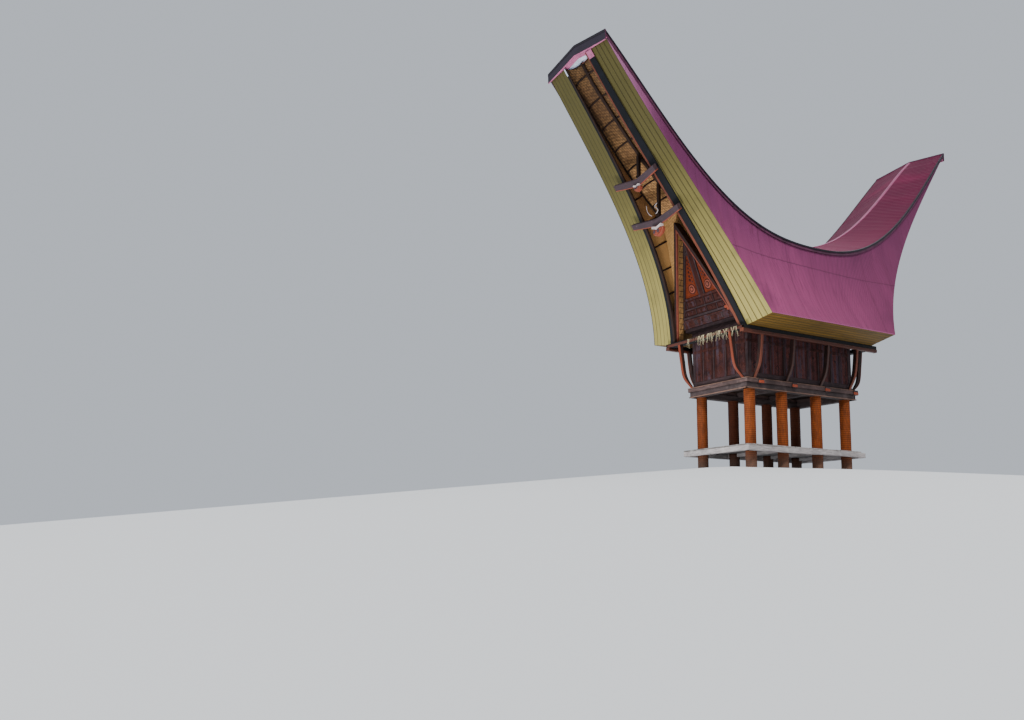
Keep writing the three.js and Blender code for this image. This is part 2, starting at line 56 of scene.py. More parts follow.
# Roof curves, the same as the solids follow
EAVE_HALF_X = 2.534
EAVE_HALF_Y = 2.696
EAVE_Z = 4.355
TIP_Y = 7.5
VERGE_REACH = (EAVE_HALF_Y, 3.503, 5.692, TIP_Y)
VERGE_NARROWING = (0.0, 0.71, 0.923, 1.0)
SHOULDER_LOW_Z = 6.906
SHOULDER_TIP_Z = 11.794
SHOULDER_RISE = (0.36, 1.70, -1.06)
SHOULDER_TIP_Y = 7.583
SHOULDER_MID_X = 1.705
SHOULDER_TIP_X = 1.347
RIDGE_RISE_MID = 0.63
RIDGE_RISE_TIP = 0.2
RIDGE_NOSE = 0.045
NOSE_START_Y = 7.0
LIP_THICKNESS = 0.032
LIP_DEPTH = 0.29
TRIM_DEPTH = 0.12
TRIM_PROUD = 0.05
SHEET = 0.025
MASS = 0.78
EAVE_SPREAD = 0.19
MASS_DROP = 0.05
INNER_FORWARD = 0.06
INNER_DROP = 0.135
MAT = 0.025
CROWN_ABOVE_SHOULDER = 0.03
CROWN_END_RISE = 0.095
CROWN_RECESS = 0.25
POLE_RADIUS = 0.055
POLE_REACH = TIP_Y + INNER_FORWARD - CROWN_RECESS
SIDE_SHARE = 0.7
GAP = 0.0003

# Places on the roof that only its visible pieces have
CURVE_LENGTH = 10.9
LAYERS_TIP_Y = 7.49
MAT_STEPS = 90
FREE_END = 0.92
LIP_MIDDLE = 0.335
RIB_PLACES = (0.344, 0.656)
RIB_DEPTH = MAT + 0.025
BATTEN_DEPTH = MAT + 0.012
LAYER_NOTCH = 0.007
EAVE_LAYERS = 7
LAP_HEIGHT = 1.9
WEAVE_STRIP = 0.055
# Lift of a sheet's underside in its surface coordinates, where the sheet finish paints it dark as painted
# shade
UNDERSIDE = 100.0

# Timber frame
POST_RADIUS = 0.165
POST_ROW_X = 1.0
POST_YS = (-2.11, -0.76, 0.76, 2.11)
POST_TOP = 2.4497
PLATFORM_HALF = (1.36, 2.6)
PLATFORM_TOP = 0.8
PLATFORM_BEAM_HEIGHT = 0.2
PLATFORM_BEAM_WIDTH = 0.12
BEARER_Z = (0.645, 0.755)
SIDE_BEND = (0.35, 0.215, 0.385, 1.2194)
END_BEND = (0.49, 0.31, 0.3, 1.3094)
END_STRUT_X = 1.08
PLATE_HALF = (1.65, 2.96)
PLATE_Z = (3.98, 4.07)
RING_HALF = (1.2, 2.42)
RING_Z = (2.45, 2.625)
RING_WIDTH = 0.23
SILL_HALF = (1.25, 2.46)
SILL_Z = (2.625, 2.76)
SILL_WIDTH = 0.21
SILL_STRIP_Z = 2.735
JOIST_YS = (-1.88, -0.46, 1.01, 2.35)
JOIST_PROUD = 0.05
JOIST_Z = (2.6, 2.755)
JOIST_END_Z = (2.61, 2.7)
WALL_HALF = (1.165, 2.3)
WALL_THICKNESS = 0.05
WALL_Z = (2.8006, 4.4997)
WALL_FIELDS_Z = ((2.93, 3.845), (3.925, 4.375))
END_STILES = (0.25, 0.7)
SIDE_STILES = (0.3, 0.76, 1.35, 1.76)
GABLE_LEAN = 0.39
GABLE_BASE_Y = 2.6
GABLE_BASE_Z = 4.6
GABLE_TOP_Z = 7.925
END_SIGNS = {"front": -1, "rear": 1}
SIDE_SIGNS = {"left": -1, "right": 1}
FRAME_FOOT_Z = 4.1813
FRAME_FOOT_X = 1.5
FRAME_TOP_Z = 7.49
RAFTER_WIDTH = 0.13
PANEL_Z = (4.87, 7.2)
PANEL_HALF = 1.1
ARM_LEVELS = {"lower": (7.35, 1.02), "upper": (8.4, 0.9)}
ARM_THICKNESS = 0.13
ARM_BACK = 0.138
STRAW_LINE = (-2.974, 4.165)


def bezier(values, s):
    r = 1 - s
    return values[0] * r**3 + 3 * values[1] * s * r**2 + 3 * values[2] * s**2 * r + values[3] * s**3


def shoulder_z(y):
    a = np.abs(y) / SHOULDER_TIP_Y
    rise = sum(factor * a ** (k + 2) for k, factor in enumerate(SHOULDER_RISE))
    return SHOULDER_LOW_Z + (SHOULDER_TIP_Z - SHOULDER_LOW_Z) * rise


def shoulder_x(y):
    return SHOULDER_MID_X + (SHOULDER_TIP_X - SHOULDER_MID_X) * (np.abs(y) / SHOULDER_TIP_Y) ** 2


def ridge_z(y):
    rise = RIDGE_RISE_MID + (RIDGE_RISE_TIP - RIDGE_RISE_MID) * (np.abs(y) / SHOULDER_TIP_Y) ** 2
    return shoulder_z(y) + rise


def slope(t, v, depth, forward=0.0, drop=0.0):
    """A point of the right slope: t from verge to verge, v from eave to shoulder, depth inwards."""
    t, v = np.broadcast_arrays(np.asarray(t, float), np.asarray(v, float))
    top_z = shoulder_z(t * TIP_Y) - TRIM_DEPTH - GAP
    outer_x = EAVE_HALF_X + (shoulder_x(t * TIP_Y) - EAVE_HALF_X) * bezier(VERGE_NARROWING, v)
    inward = depth * (1 + EAVE_SPREAD * (1 - v))
    z = EAVE_Z + (top_z - EAVE_Z) * v - depth * MASS_DROP - drop * (1 - v) ** 4
    return np.stack([outer_x - inward, t * (bezier(VERGE_REACH, v) + forward), z], axis=-1)


def inner_slope(t, v):
    """A point of the right slope's inner face."""
    return slope(t, v, MASS + GAP, INNER_FORWARD, INNER_DROP)


def crest_edge(y):
    """Half the width of the crest, out to its trims."""
    return shoulder_x(y) + TRIM_PROUD


def crest_z(y, share):
    """Height of the crest's top face, from the ridge (0) to the shoulder's trim (1)."""
    return shoulder_z(y) + (ridge_z(y) - shoulder_z(y)) * (1 - share)


def nose(y, share=0.0):
    """How far the crest reaches out at its tips, most of all at the ridge."""
    near_tip = np.clip((np.abs(y) - NOSE_START_Y) / (SHOULDER_TIP_Y - NOSE_START_Y), 0, 1)
    return np.sign(y) * RIDGE_NOSE * near_tip * (1 - share)


def crown_z(t, at_end):
    """Height of the mats' crown, which is raised at the free end."""
    return shoulder_z(t * TIP_Y) + CROWN_ABOVE_SHOULDER + CROWN_END_RISE * at_end


def vault(t, s, lift=0.0, at_end=0.0):
    """A point inside one overhang: s runs from the left eave (0) over the crown (0.5) to the right (1)."""
    t, s, at_end = np.broadcast_arrays(*(np.asarray(value, float) for value in (t, s, at_end)))
    step = np.minimum(s, 1 - s) * 2 / SIDE_SHARE
    turn = np.clip((step - 1) / (1 / SIDE_SHARE - 1), 0, 1) * math.pi / 2
    place = t * (1 - at_end * CROWN_RECESS * np.sin(turn) / (TIP_Y + INNER_FORWARD))
    point = inner_slope(place, np.clip(step, 0, 1))
    point[..., 2] += (crown_z(place, at_end) - lift - point[..., 2]) * np.sin(turn)
    point[..., 0] = np.where(s <= 0.5, -1, 1) * (point[..., 0] - lift) * np.cos(turn)
    return point


def gable_y(z):
    return GABLE_BASE_Y + (z - GABLE_BASE_Z) * GABLE_LEAN


def solve(rises):
    """The place in 0..1 where a rising test turns true."""
    low, high = 0.0, 1.0
    for _ in range(30):
        middle = (low + high) / 2
        low, high = (low, middle) if rises(middle) else (middle, high)
    return (low + high) / 2


def vault_half_width(y, z):
    """Half the clear width between the mats at a height and a distance from the middle."""
    def height_on(t):
        return solve(lambda v: inner_slope(t, v)[2] > z)
    t = solve(lambda middle: inner_slope(middle, height_on(middle))[1] > y)
    return inner_slope(t, height_on(t))[0] - MAT


# Shader maths

class Value:
    """A socket of one finish, which takes part in Python arithmetic."""

    def __init__(self, finish, socket):
        self.finish = finish
        self.socket = socket

    def math(self, operation, other=0.0, swapped=False):
        pair = (other, self) if swapped else (self, other)
        return self.finish.node("ShaderNodeMath", {"operation": operation}, dict(enumerate(pair)))

    def stained(self, value, low, high, amount, colour):
        """This tone, with a colour laid over it as a value goes from low to high."""
        mask = self.finish.band(value, low, high)
        return self.finish.mix(mask * amount if amount < 1 else mask, self, colour)

    __add__ = partialmethod(math, "ADD")
    __sub__ = partialmethod(math, "SUBTRACT")
    __rsub__ = partialmethod(math, "SUBTRACT", swapped=True)
    __mul__ = partialmethod(math, "MULTIPLY")
    __radd__ = __add__
    __rmul__ = __mul__
    __truediv__ = partialmethod(math, "DIVIDE")
    __gt__ = partialmethod(math, "GREATER_THAN")


class Finish:
    """A procedural material and the nodes that it is made of."""

    def __init__(self, name, specular):
        self.material = bpy.data.materials.new(name)
        self.material.use_nodes = True
        self.tree = self.material.node_tree
        self.tree.nodes.clear()
        self.shader = self.tree.nodes.new("ShaderNodeBsdfPrincipled")
        self.shader.inputs["Specular IOR Level"].default_value = specular
        output = self.tree.nodes.new("ShaderNodeOutputMaterial")
        self.tree.links.new(self.shader.outputs[0], output.inputs["Surface"])

    def node(self, kind, settings=None, values=None, output=0):
        """Adds a node: its settings first, then the values or links of its sockets."""
        made = self.tree.nodes.new(kind)
        for key, setting in (settings or {}).items():
            if key == "stops":
                self.fill_ramp(made.color_ramp, setting)
            else:
                setattr(made, key, setting)
        for key, value in (values or {}).items():
            if isinstance(value, Value):
                self.tree.links.new(value.socket, made.inputs[key])
            else:
                made.inputs[key].default_value = value
        return Value(self, made.outputs[output])

    @staticmethod
    def fill_ramp(ramp, stops):
        """Gives a ramp its stops, each a place and a linear colour."""
        while len(ramp.elements) < len(stops):
            ramp.elements.new(1.0)
        for element, (place, colour) in zip(ramp.elements, stops):
            element.position = place
            element.color = colour

    def places(self, stretch=(1, 1, 1), along_piece=True):
        """Coordinates in metres: along the piece's own surface, or of the object."""
        kind = "UV" if along_piece else "Object"
        point = self.node("ShaderNodeTexCoord", output=kind)
        return self.node("ShaderNodeMapping", values={"Vector": point, "Scale": stretch})

    def parts(self, vector):
        split = self.node("ShaderNodeSeparateXYZ", values={"Vector": vector})
        outputs = split.socket.node.outputs
        return [Value(self, outputs[k]) for k in range(3)]

    def noise(self, vector, scale, detail, distortion=0.0):
        values = {"Vector": vector, "Scale": scale, "Detail": detail, "Distortion": distortion}
        return self.node("ShaderNodeTexNoise", values=values)

    def grain(self, stretch, scale, detail, distortion=0.0):
        """Noise along the piece's own surface."""
        return self.noise(self.places(stretch), scale, detail, distortion)

    def patches(self, scale, detail, stretch=(1, 1, 1)):
        """Noise in the object's space."""
        return self.noise(self.places(stretch, along_piece=False), scale, detail)

    def ramp(self, mask, colour, *stops):
        """Shades of one colour along a mask, each from a place and a factor."""
        shades = [(place, linear(shade(colour, factor))) for place, factor in stops]
        return self.node("ShaderNodeValToRGB", {"stops": shades}, {"Fac": mask})

    def band(self, value, low, high):
        """0 below low, 1 above high and smooth between."""
        settings = {"interpolation_type": "SMOOTHSTEP"}
        return self.node("ShaderNodeMapRange", settings, {"Value": value, 1: low, 2: high})

    def mix(self, mask, first, second, blend="MIX"):
        settings = {"data_type": "RGBA", "blend_type": blend}
        first, second = (c if isinstance(c, Value) else linear(c) for c in (first, second))
        return self.node("ShaderNodeMix", settings, {"Factor": mask, 6: first, 7: second}, output=2)

    def close(self, colour, roughness, height=None, depth=0.002):
        """Joins colour, roughness and the height of the relief to the shader."""
        results = {"Base Color": colour, "Roughness": roughness}
        if height is not None:
            values = {"Height": height, "Strength": 1.0, "Distance": depth}
            results["Normal"] = self.node("ShaderNodeBump", values=values)
        for name, value in results.items():
            self.tree.links.new(value.socket, self.shader.inputs[name])
        return self.material


def linear(colour):
    """An 8 bit display colour as the shader's linear one."""
    steps = [c / 255 for c in colour[:3]]
    return [c / 12.92 if c <= 0.04045 else ((c + 0.055) / 1.055) ** 2.4 for c in steps] + [1.0]


def shade(colour, factor):
    return tuple(min(255, c * factor) for c in colour)


def wood(name, colour, dark=0.55, light=1.25, grain=26.0, worn=None, worn_amount=0.5, plank_width=0.0):
    """Timber with grain along each board, patches, fine cracks and worn places. With a plank
    width, the planks lie side by side along Y and their grain runs along X."""
    finish = Finish(name, 0.25)
    planks = plank_width > 0
    upwards = grain if planks else 1
    fibres = finish.noise(finish.places((1.2, grain, upwards), not planks), 3.0, 5.0, 0.35)
    cracks = finish.noise(finish.places((0.7, grain * 2.4, upwards), not planks), 2.4, 2.0, 0.2)
    tone = finish.ramp(fibres, colour, (0.25, dark), (0.5, 1), (0.78, light))
    tone = tone.stained(finish.patches(1.7, 4.0), 0.42, 0.72, 0.55, shade(colour, dark * 0.9))
    if planks:
        row = finish.parts(finish.places(along_piece=False))[1] / plank_width
        own = finish.node("ShaderNodeTexWhiteNoise", {"noise_dimensions": "1D"}, {"W": row.math("FLOOR")})
        tone = finish.mix(own * 0.45, tone, shade(colour, 0.62))
        tone = tone.stained(row.math("FRACT").math("PINGPONG", 0.5), 0.03, 0.01, 0.8, shade(colour, 0.2))
    if worn:
        tone = tone.stained(finish.patches(5.5, 6.0), 0.56 - 0.14 * worn_amount, 0.8, worn_amount, worn)
    tone = tone.stained(cracks, 0.66, 0.74, 0.5, shade(colour, 0.28))
    return finish.close(tone, fibres * 0.2 + 0.62, fibres * 0.7 - finish.band(cracks, 0.62, 0.74), 0.0016)


# Mesh making

CORNERS = np.array([(a, b, c) for a in (0, 1) for b in (0, 1) for c in (0, 1)])


def chamfered_faces():
    """A box's sides, edges and corners, where each corner has a point on each of its three sides."""
    def point(axis, end, a, b, side):
        corner = [a, b]
        corner.insert(axis, end)
        return (4 * corner[0] + 2 * corner[1] + corner[2]) * 3 + side

    faces = []
    for axis in range(3):
        first, second = (k for k in range(3) if k != axis)
        for end in (0, 1):
            faces.append([point(axis, end, a, b, axis) for a, b in ((0, 0), (1, 0), (1, 1), (0, 1))])
        for a, b in ((0, 0), (0, 1), (1, 0), (1, 1)):
            faces.append([point(axis, end, a, b, side)
                          for end, side in ((0, first), (1, first), (1, second), (0, second))])
    return faces + [[3 * k, 3 * k + 1, 3 * k + 2] for k in range(8)]


def run_along(points):
    """Distance along rows of points, from the first row."""
    steps = np.linalg.norm(np.diff(points, axis=0), axis=-1)
    return np.concatenate([np.zeros_like(steps[:1]), np.cumsum(steps, axis=0)])


class Piece:
    """Points, faces, surface coordinates and tags of one piece while it is made. A face's tag is
    the place of its finish in the list that make takes."""

    def __init__(self, name, seed):
        self.name = name
        self.points = []
        self.places = []
        self.faces = []
        self.tags = []
        self.count = 0
        self.random = random.Random(seed)

    def add(self, points, faces, places, tag=0):
        points = np.asarray(points, float).reshape(-1, 3)
        self.points.append(points)
        self.places.append(np.asarray(places, float).reshape(-1, 2))
        self.faces += [tuple(int(self.count + k) for k in face) for face in faces]
        self.tags += [tag] * len(faces) if isinstance(tag, int) else list(tag)
        self.count += len(points)

    def block(self, low, high, tag=0, edge=0.006, place=None):
        """A timber with chamfered edges between two corners; the grain follows its longest side."""
        low, high = np.minimum(low, high).astype(float), np.maximum(low, high).astype(float)
        size = high - low
        edge = min(edge, size.min() * 0.3)
        signs = np.repeat(CORNERS, 3, axis=0)
        inset = edge * (1 - 2 * signs) * (1 - np.tile(np.eye(3), (8, 1)))
        points = np.where(signs, high, low) + inset
        long_axis = int(np.argmax(size))
        shift = self.random.random() * 20
        across = points.sum(axis=1) - points[:, long_axis]
        places = np.stack([points[:, long_axis], across], axis=1) + shift
        self.add(place(points) if place else points, chamfered_faces(), places, tag)

    def stack(self, surfaces, places, tags=0):
        """A closed body between surfaces given as grids of points, from the outermost inwards.
        Tags may differ for the outer skin, the inner skin and the rim, and the rim's for its four
        sides: first row, last column, last row, first column."""
        rows, columns = surfaces[0].shape[:2]
        count = rows * columns
        at = np.arange(count).reshape(rows, columns)

        def quads(grid):
            return np.stack([grid[:-1, :-1], grid[1:, :-1], grid[1:, 1:], grid[:-1, 1:]], -1).reshape(-1, 4)

        last = (len(surfaces) - 1) * count
        skins = [quads(at), quads(at)[:, ::-1] + last]
        rim = np.concatenate([at[0, :-1], at[:-1, -1], at[-1, :0:-1], at[:0:-1, 0]])
        after = np.roll(rim, -1)
        skin_tags = [tags] * 3 if isinstance(tags, int) else tags
        marks = [skin_tags[0]] * len(skins[0]) + [skin_tags[1]] * len(skins[1])
        side_tags = [skin_tags[2]] * 4 if isinstance(skin_tags[2], int) else skin_tags[2]
        sides = np.repeat(side_tags, [columns - 1, rows - 1, columns - 1, rows - 1]).tolist()
        for level in range(len(surfaces) - 1):
            low, high = level * count, (level + 1) * count
            skins.append(np.stack([rim + low, after + low, after + high, rim + high], -1))
            marks += sides
        faces = np.concatenate(skins).tolist()
        points = np.concatenate([s.reshape(-1, 3) for s in surfaces])
        self.add(points, faces, np.concatenate([p.reshape(-1, 2) for p in places]), marks)

    def loft(self, rings, tags=0):
        """Skins a row of equal closed rings; tags may differ for each side of the ring."""
        rings = np.asarray(rings, float)
        count, sides = rings.shape[:2]
        at = np.arange(count * sides).reshape(count, sides)
        faces, marks = [], []
        for k in range(sides):
            after = (k + 1) % sides
            strip = np.stack([at[:-1, k], at[1:, k], at[1:, after], at[:-1, after]], -1)
            faces += strip.tolist()
            marks += [tags if isinstance(tags, int) else tags[k]] * len(strip)
        faces += [at[0].tolist(), at[-1][::-1].tolist()]
        marks += [tags if isinstance(tags, int) else tags[-1]] * 2
        along, around = run_along(rings.mean(axis=1)), run_along(rings[0])
        shift = self.random.random() * 20
        places = np.stack(np.meshgrid(along + shift, around + shift, indexing="ij"), -1)
        self.add(rings, faces, places, marks)

    def slab(self, outline, near, far, place, tag=0, edge=0.005):
        """A flat board of any outline between two depths, with chamfered front edges."""
        outline = np.asarray(outline, float)
        inset = shrink(outline, edge)
        step = math.copysign(min(edge, abs(far - near) * 0.3), far - near)
        rings = [place(ring[:, 0], ring[:, 1], depth) for ring, depth in
                 ((inset, near), (outline, near + step), (outline, far - step), (inset, far))]
        self.loft(rings, tag)
        shift = self.random.random() * 20
        long_axis = int(np.argmax(np.ptp(outline, axis=0)))
        flat = np.concatenate([inset, outline, outline, inset])
        depth = np.repeat([near, near + step, far - step, far], len(outline))
        self.places[-1] = np.stack([flat[:, long_axis] + shift, flat[:, 1 - long_axis] + depth + shift], 1)

    def make(self, finishes, smooth=0, turned=False, mirrored=False):
        """The finished object, at the origin, with its faces outwards."""
        points = np.concatenate(self.points)
        if turned:
            points = points * (-1, -1, 1)
        if mirrored:
            points = points * (-1, 1, 1)
        mesh = bpy.data.meshes.new(self.name)
        mesh.from_pydata(points.tolist(), [], self.faces)
        uv = mesh.uv_layers.new(name="Along")
        corners = np.empty(len(mesh.loops), np.int32)
        mesh.loops.foreach_get("vertex_index", corners)
        uv.data.foreach_set("uv", np.concatenate(self.places)[corners].astype(np.float32).ravel())
        for finish in finishes:
            mesh.materials.append(finish)
        mesh.polygons.foreach_set("material_index", np.array(self.tags, np.int32))
        face_out(mesh)
        soften(mesh, smooth)
        return shown(self.name, mesh)


def face_out(mesh):
    work = bmesh.new()
    work.from_mesh(mesh)
    bmesh.ops.recalc_face_normals(work, faces=work.faces)
    work.to_mesh(mesh)
    work.free()
    mesh.update()


def soften(mesh, smooth):
    """Shades faces as one where they meet at less than an angle in degrees; 0 leaves them flat."""
    mesh.polygons.foreach_set("use_smooth", np.full(len(mesh.polygons), smooth > 0))
    if smooth:
        mesh.set_sharp_from_angle(angle=math.radians(smooth))


def shown(name, mesh):
    piece = bpy.data.objects.new(name, mesh)
    bpy.context.scene.collection.objects.link(piece)
    return piece


def shrink(outline, edge):
    """An outline moved inwards by an edge, from its own turning direction."""
    after = np.roll(outline, -1, axis=0) - outline
    before = outline - np.roll(outline, 1, axis=0)
    area = np.sum(outline[:, 0] * np.roll(outline[:, 1], -1) - outline[:, 1] * np.roll(outline[:, 0], -1))
    turn = 1 if area > 0 else -1

    def inward(direction):
        unit = direction / np.maximum(np.linalg.norm(direction, axis=1, keepdims=True), 1e-9)
        return np.stack([-unit[:, 1], unit[:, 0]], 1) * turn

    middle = inward(after) + inward(before)
    length = np.maximum(np.sum(middle * inward(after), axis=1, keepdims=True), 0.4)
    return outline + middle / length * edge


def smooth_path(points, count):
    """A curve through points, as a number of equal steps of its parameter."""
    points = np.asarray(points, float)
    padded = np.concatenate([[2 * points[0] - points[1]], points, [2 * points[-1] - points[-2]]])
    places = np.linspace(0, len(points) - 1, count)
    segment = np.minimum(places.astype(int), len(points) - 2)
    s = (places - segment)[:, None]
    p0, p1, p2, p3 = (padded[segment + k] for k in range(4))
    return 0.5 * (2 * p1 + (p2 - p0) * s + (2 * p0 - 5 * p1 + 4 * p2 - p3) * s**2
                  + (3 * p1 - p0 - 3 * p2 + p3) * s**3)


# Geometry node recipes

def spaced(values):
    """Socket values by name, where a keyword's underscores stand for spaces."""
    return {key.replace("_", " "): value for key, value in values.items()}


class Recipe(Finish):
    """A geometry node tree with named inputs, which ends in plain geometry with its finish."""

    def __init__(self, name, **inputs):
        self.tree = bpy.data.node_groups.new(name, "GeometryNodeTree")
        interface = self.tree.interface
        interface.new_socket("Geometry", in_out="INPUT", socket_type="NodeSocketGeometry")
        kinds = {float: "NodeSocketFloat", int: "NodeSocketInt", tuple: "NodeSocketVector"}
        for label, default in spaced(inputs).items():
            socket = interface.new_socket(label, in_out="INPUT", socket_type=kinds[type(default)])
            socket.default_value = default
        interface.new_socket("Finish", in_out="INPUT", socket_type="NodeSocketMaterial")
        interface.new_socket("Geometry", in_out="OUTPUT", socket_type="NodeSocketGeometry")
        self.start = self.tree.nodes.new("NodeGroupInput")

    def given(self, label):
        return Value(self, self.start.outputs[label])

    def grow(self, kind, **values):
        """Adds a geometry node with its socket values."""
        return self.node(f"GeometryNode{kind}", values=spaced(values))

    def vector(self, **values):
        return self.node("ShaderNodeCombineXYZ", values=values)

    def scaled(self, vector, factor):
        return self.node("ShaderNodeVectorMath", {"operation": "SCALE"}, {0: vector, "Scale": factor})

    def drawn(self, kind, values, seed, output=0):
        """A random value for each point, with its own seed."""
        values = values | {"Seed": seed}
        return self.node("FunctionNodeRandomValue", {"data_type": kind}, values, output)

    def tube(self, path, sides):
        """A round bar of the given radius along a path, with closed ends."""
        circle = self.grow("CurvePrimitiveCircle", Resolution=sides, Radius=self.given("Radius"))
        return self.grow("CurveToMesh", Curve=path, Profile_Curve=circle, Fill_Caps=True)

    def end(self, geometry):
        whole = self.grow("RealizeInstances", Geometry=geometry)
        dressed = self.grow("SetMaterial", Geometry=whole, Material=self.given("Finish"))
        output = self.tree.nodes.new("NodeGroupOutput")
        self.tree.links.new(dressed.socket, output.inputs[0])
        return self

    def run(self, name, finish, base=None, smooth=0, **values):
        """Grows one object from the recipe and keeps its plain mesh."""
        piece = shown(name, base or bpy.data.meshes.new(name))
        modifier = piece.modifiers.new("Recipe", "NODES")
        modifier.node_group = self.tree
        values = spaced(values) | {"Finish": finish}
        for item in self.tree.interface.items_tree:
            if item.item_type == "SOCKET" and item.in_out == "INPUT" and item.name in values:
                modifier[item.identifier] = values[item.name]
        bpy.context.view_layer.update()
        evaluated = piece.evaluated_get(bpy.context.evaluated_depsgraph_get())
        plain = bpy.data.meshes.new_from_object(evaluated)
        piece.modifiers.clear()
        piece.data = plain
        plain.name = name
        soften(plain, smooth)
        if not plain.polygons:
            raise RuntimeError(f"{name} came out empty")
        return piece


def corrugation():
    """Ribs along a surface: a wave along its normals, counted by the stored run in metres."""
    recipe = Recipe("Corrugation", Pitch=0.09, Height=0.012)
    run, side = (recipe.node("GeometryNodeInputNamedAttribute", {"data_type": "FLOAT"}, {"Name": name})
                 for name in ("run", "side"))
    wave = (run * (2 * math.pi) / recipe.given("Pitch")).math("SINE")
    lift = wave * recipe.given("Height") * side * 0.5
    offset = recipe.scaled(recipe.grow("InputNormal"), lift)
    return recipe.end(recipe.grow("SetPosition", Geometry=recipe.given("Geometry"), Offset=offset))


def palm_trunk():
    """A round post with the worn rings of a palm trunk."""
    recipe = Recipe("Palm trunk", Place=(0.0, 0.0, 0.0), Height=POST_TOP, Radius=POST_RADIUS,
                    Ring_spacing=0.085, Ring_depth=0.03, Unevenness=0.006, Seed=1)
    line = recipe.grow("CurvePrimitiveLine", End=recipe.vector(Z=recipe.given("Height")))
    line = recipe.grow("ResampleCurve", Curve=line, Count=170)
    height = recipe.parts(recipe.grow("InputPosition"))[2]
    wander = recipe.node("ShaderNodeTexNoise", {"noise_dimensions": "1D"},
                         {"W": height * 3 + recipe.given("Seed") * 7.3, "Scale": 1.0, "Detail": 2.0})
    ring = ((height + wander * 0.05) / recipe.given("Ring spacing")).math("PINGPONG", 1.0)
    groove = ring.math("POWER", 6.0) * recipe.given("Ring depth")
    trunk = recipe.tube(recipe.grow("SetCurveRadius", Curve=line, Radius=1.0 - groove), 28)
    lumps = recipe.node("ShaderNodeTexNoise", {"noise_dimensions": "4D"},
                        {"Vector": recipe.grow("InputPosition"), "W": recipe.given("Seed") * 3.1,
                         "Scale": 3.5, "Detail": 3.0})
    lift = (lumps - 0.5) * recipe.given("Unevenness") * 2
    out = recipe.node("ShaderNodeVectorMath", {"operation": "MULTIPLY"},
                      {0: recipe.grow("InputNormal"), 1: (1.0, 1.0, 0.0)})
    trunk = recipe.grow("SetPosition", Geometry=trunk, Offset=recipe.scaled(out, lift))
    return recipe.end(recipe.grow("Transform", Geometry=trunk, Translation=recipe.given("Place")))


def bars_on_paths():
    """Split bamboo bars along the paths of a base mesh."""
    recipe = Recipe("Bars on paths", Radius=0.014, Sides=6)
    paths = recipe.grow("MeshToCurve", Mesh=recipe.given("Geometry"))
    return recipe.end(recipe.tube(paths, recipe.given("Sides")))


def hanging_straw():
    """Straw blades that hang from the points of a base mesh, each with its own length and lean."""
    recipe = Recipe("Hanging straw", Length=0.3, Thickness=0.004, Seed=4)
    length, thickness, seed = (recipe.given(label) for label in ("Length", "Thickness", "Seed"))
    blade = recipe.grow("MeshCone", Vertices=5, Side_Segments=4, Radius_Top=thickness,
                        Radius_Bottom=thickness * 0.3, Depth=length)
    blade = recipe.grow("Transform", Geometry=blade, Translation=recipe.vector(Z=length * -1))
    lean = recipe.drawn("FLOAT_VECTOR", {0: (-0.45, -0.45, 0.0), 1: (0.45, 0.45, 6.0)}, seed)
    size = recipe.drawn("FLOAT", {2: 0.35, 3: 1.0}, seed + 5.0, 1)
    points = recipe.grow("MeshToPoints", Mesh=recipe.given("Geometry"))
    return recipe.end(recipe.grow("InstanceOnPoints", Points=points, Instance=blade, Rotation=lean,
                                  Scale=size))


def plank_row():
    """A row of weathered planks side by side, with uneven widths, ends and heights."""
    recipe = Recipe("Plank row", Count=26, Pitch=0.2, Length=2.6, Thickness=0.035, Gap=0.008,
                    Start=(0.0, 0.0, 0.0), Unevenness=0.006, Seed=3)
    pitch, uneven = recipe.given("Pitch"), recipe.given("Unevenness")
    line = recipe.grow("MeshLine", Count=recipe.given("Count"), Start_Location=recipe.given("Start"),
                       Offset=recipe.vector(Y=pitch))
    size = recipe.vector(X=recipe.given("Length"), Y=pitch - recipe.given("Gap"), Z=recipe.given("Thickness"))
    plank = recipe.grow("MeshCube", Size=size, Vertices_X=9)
    shift = recipe.drawn("FLOAT_VECTOR", {0: (-1.0, -0.2, -1.0), 1: (1.0, 0.2, 0.2)}, recipe.given("Seed"))
    points = recipe.grow("MeshToPoints", Mesh=line)
    points = recipe.grow("SetPosition", Geometry=points, Offset=recipe.scaled(shift, uneven))
    laid = recipe.grow("InstanceOnPoints", Points=points, Instance=plank)
    laid = recipe.grow("RealizeInstances", Geometry=laid)
    warp = recipe.node("ShaderNodeTexNoise", values={
        "Vector": recipe.grow("InputPosition"), "Scale": 1.8, "Detail": 2.0}, output=1)
    warp = recipe.node("ShaderNodeVectorMath", {"operation": "SUBTRACT"}, {0: warp, 1: (0.5, 0.5, 0.5)})
    warp = recipe.scaled(warp, uneven * 1.5)
    return recipe.end(recipe.grow("SetPosition", Geometry=laid, Offset=warp))


# Finishes

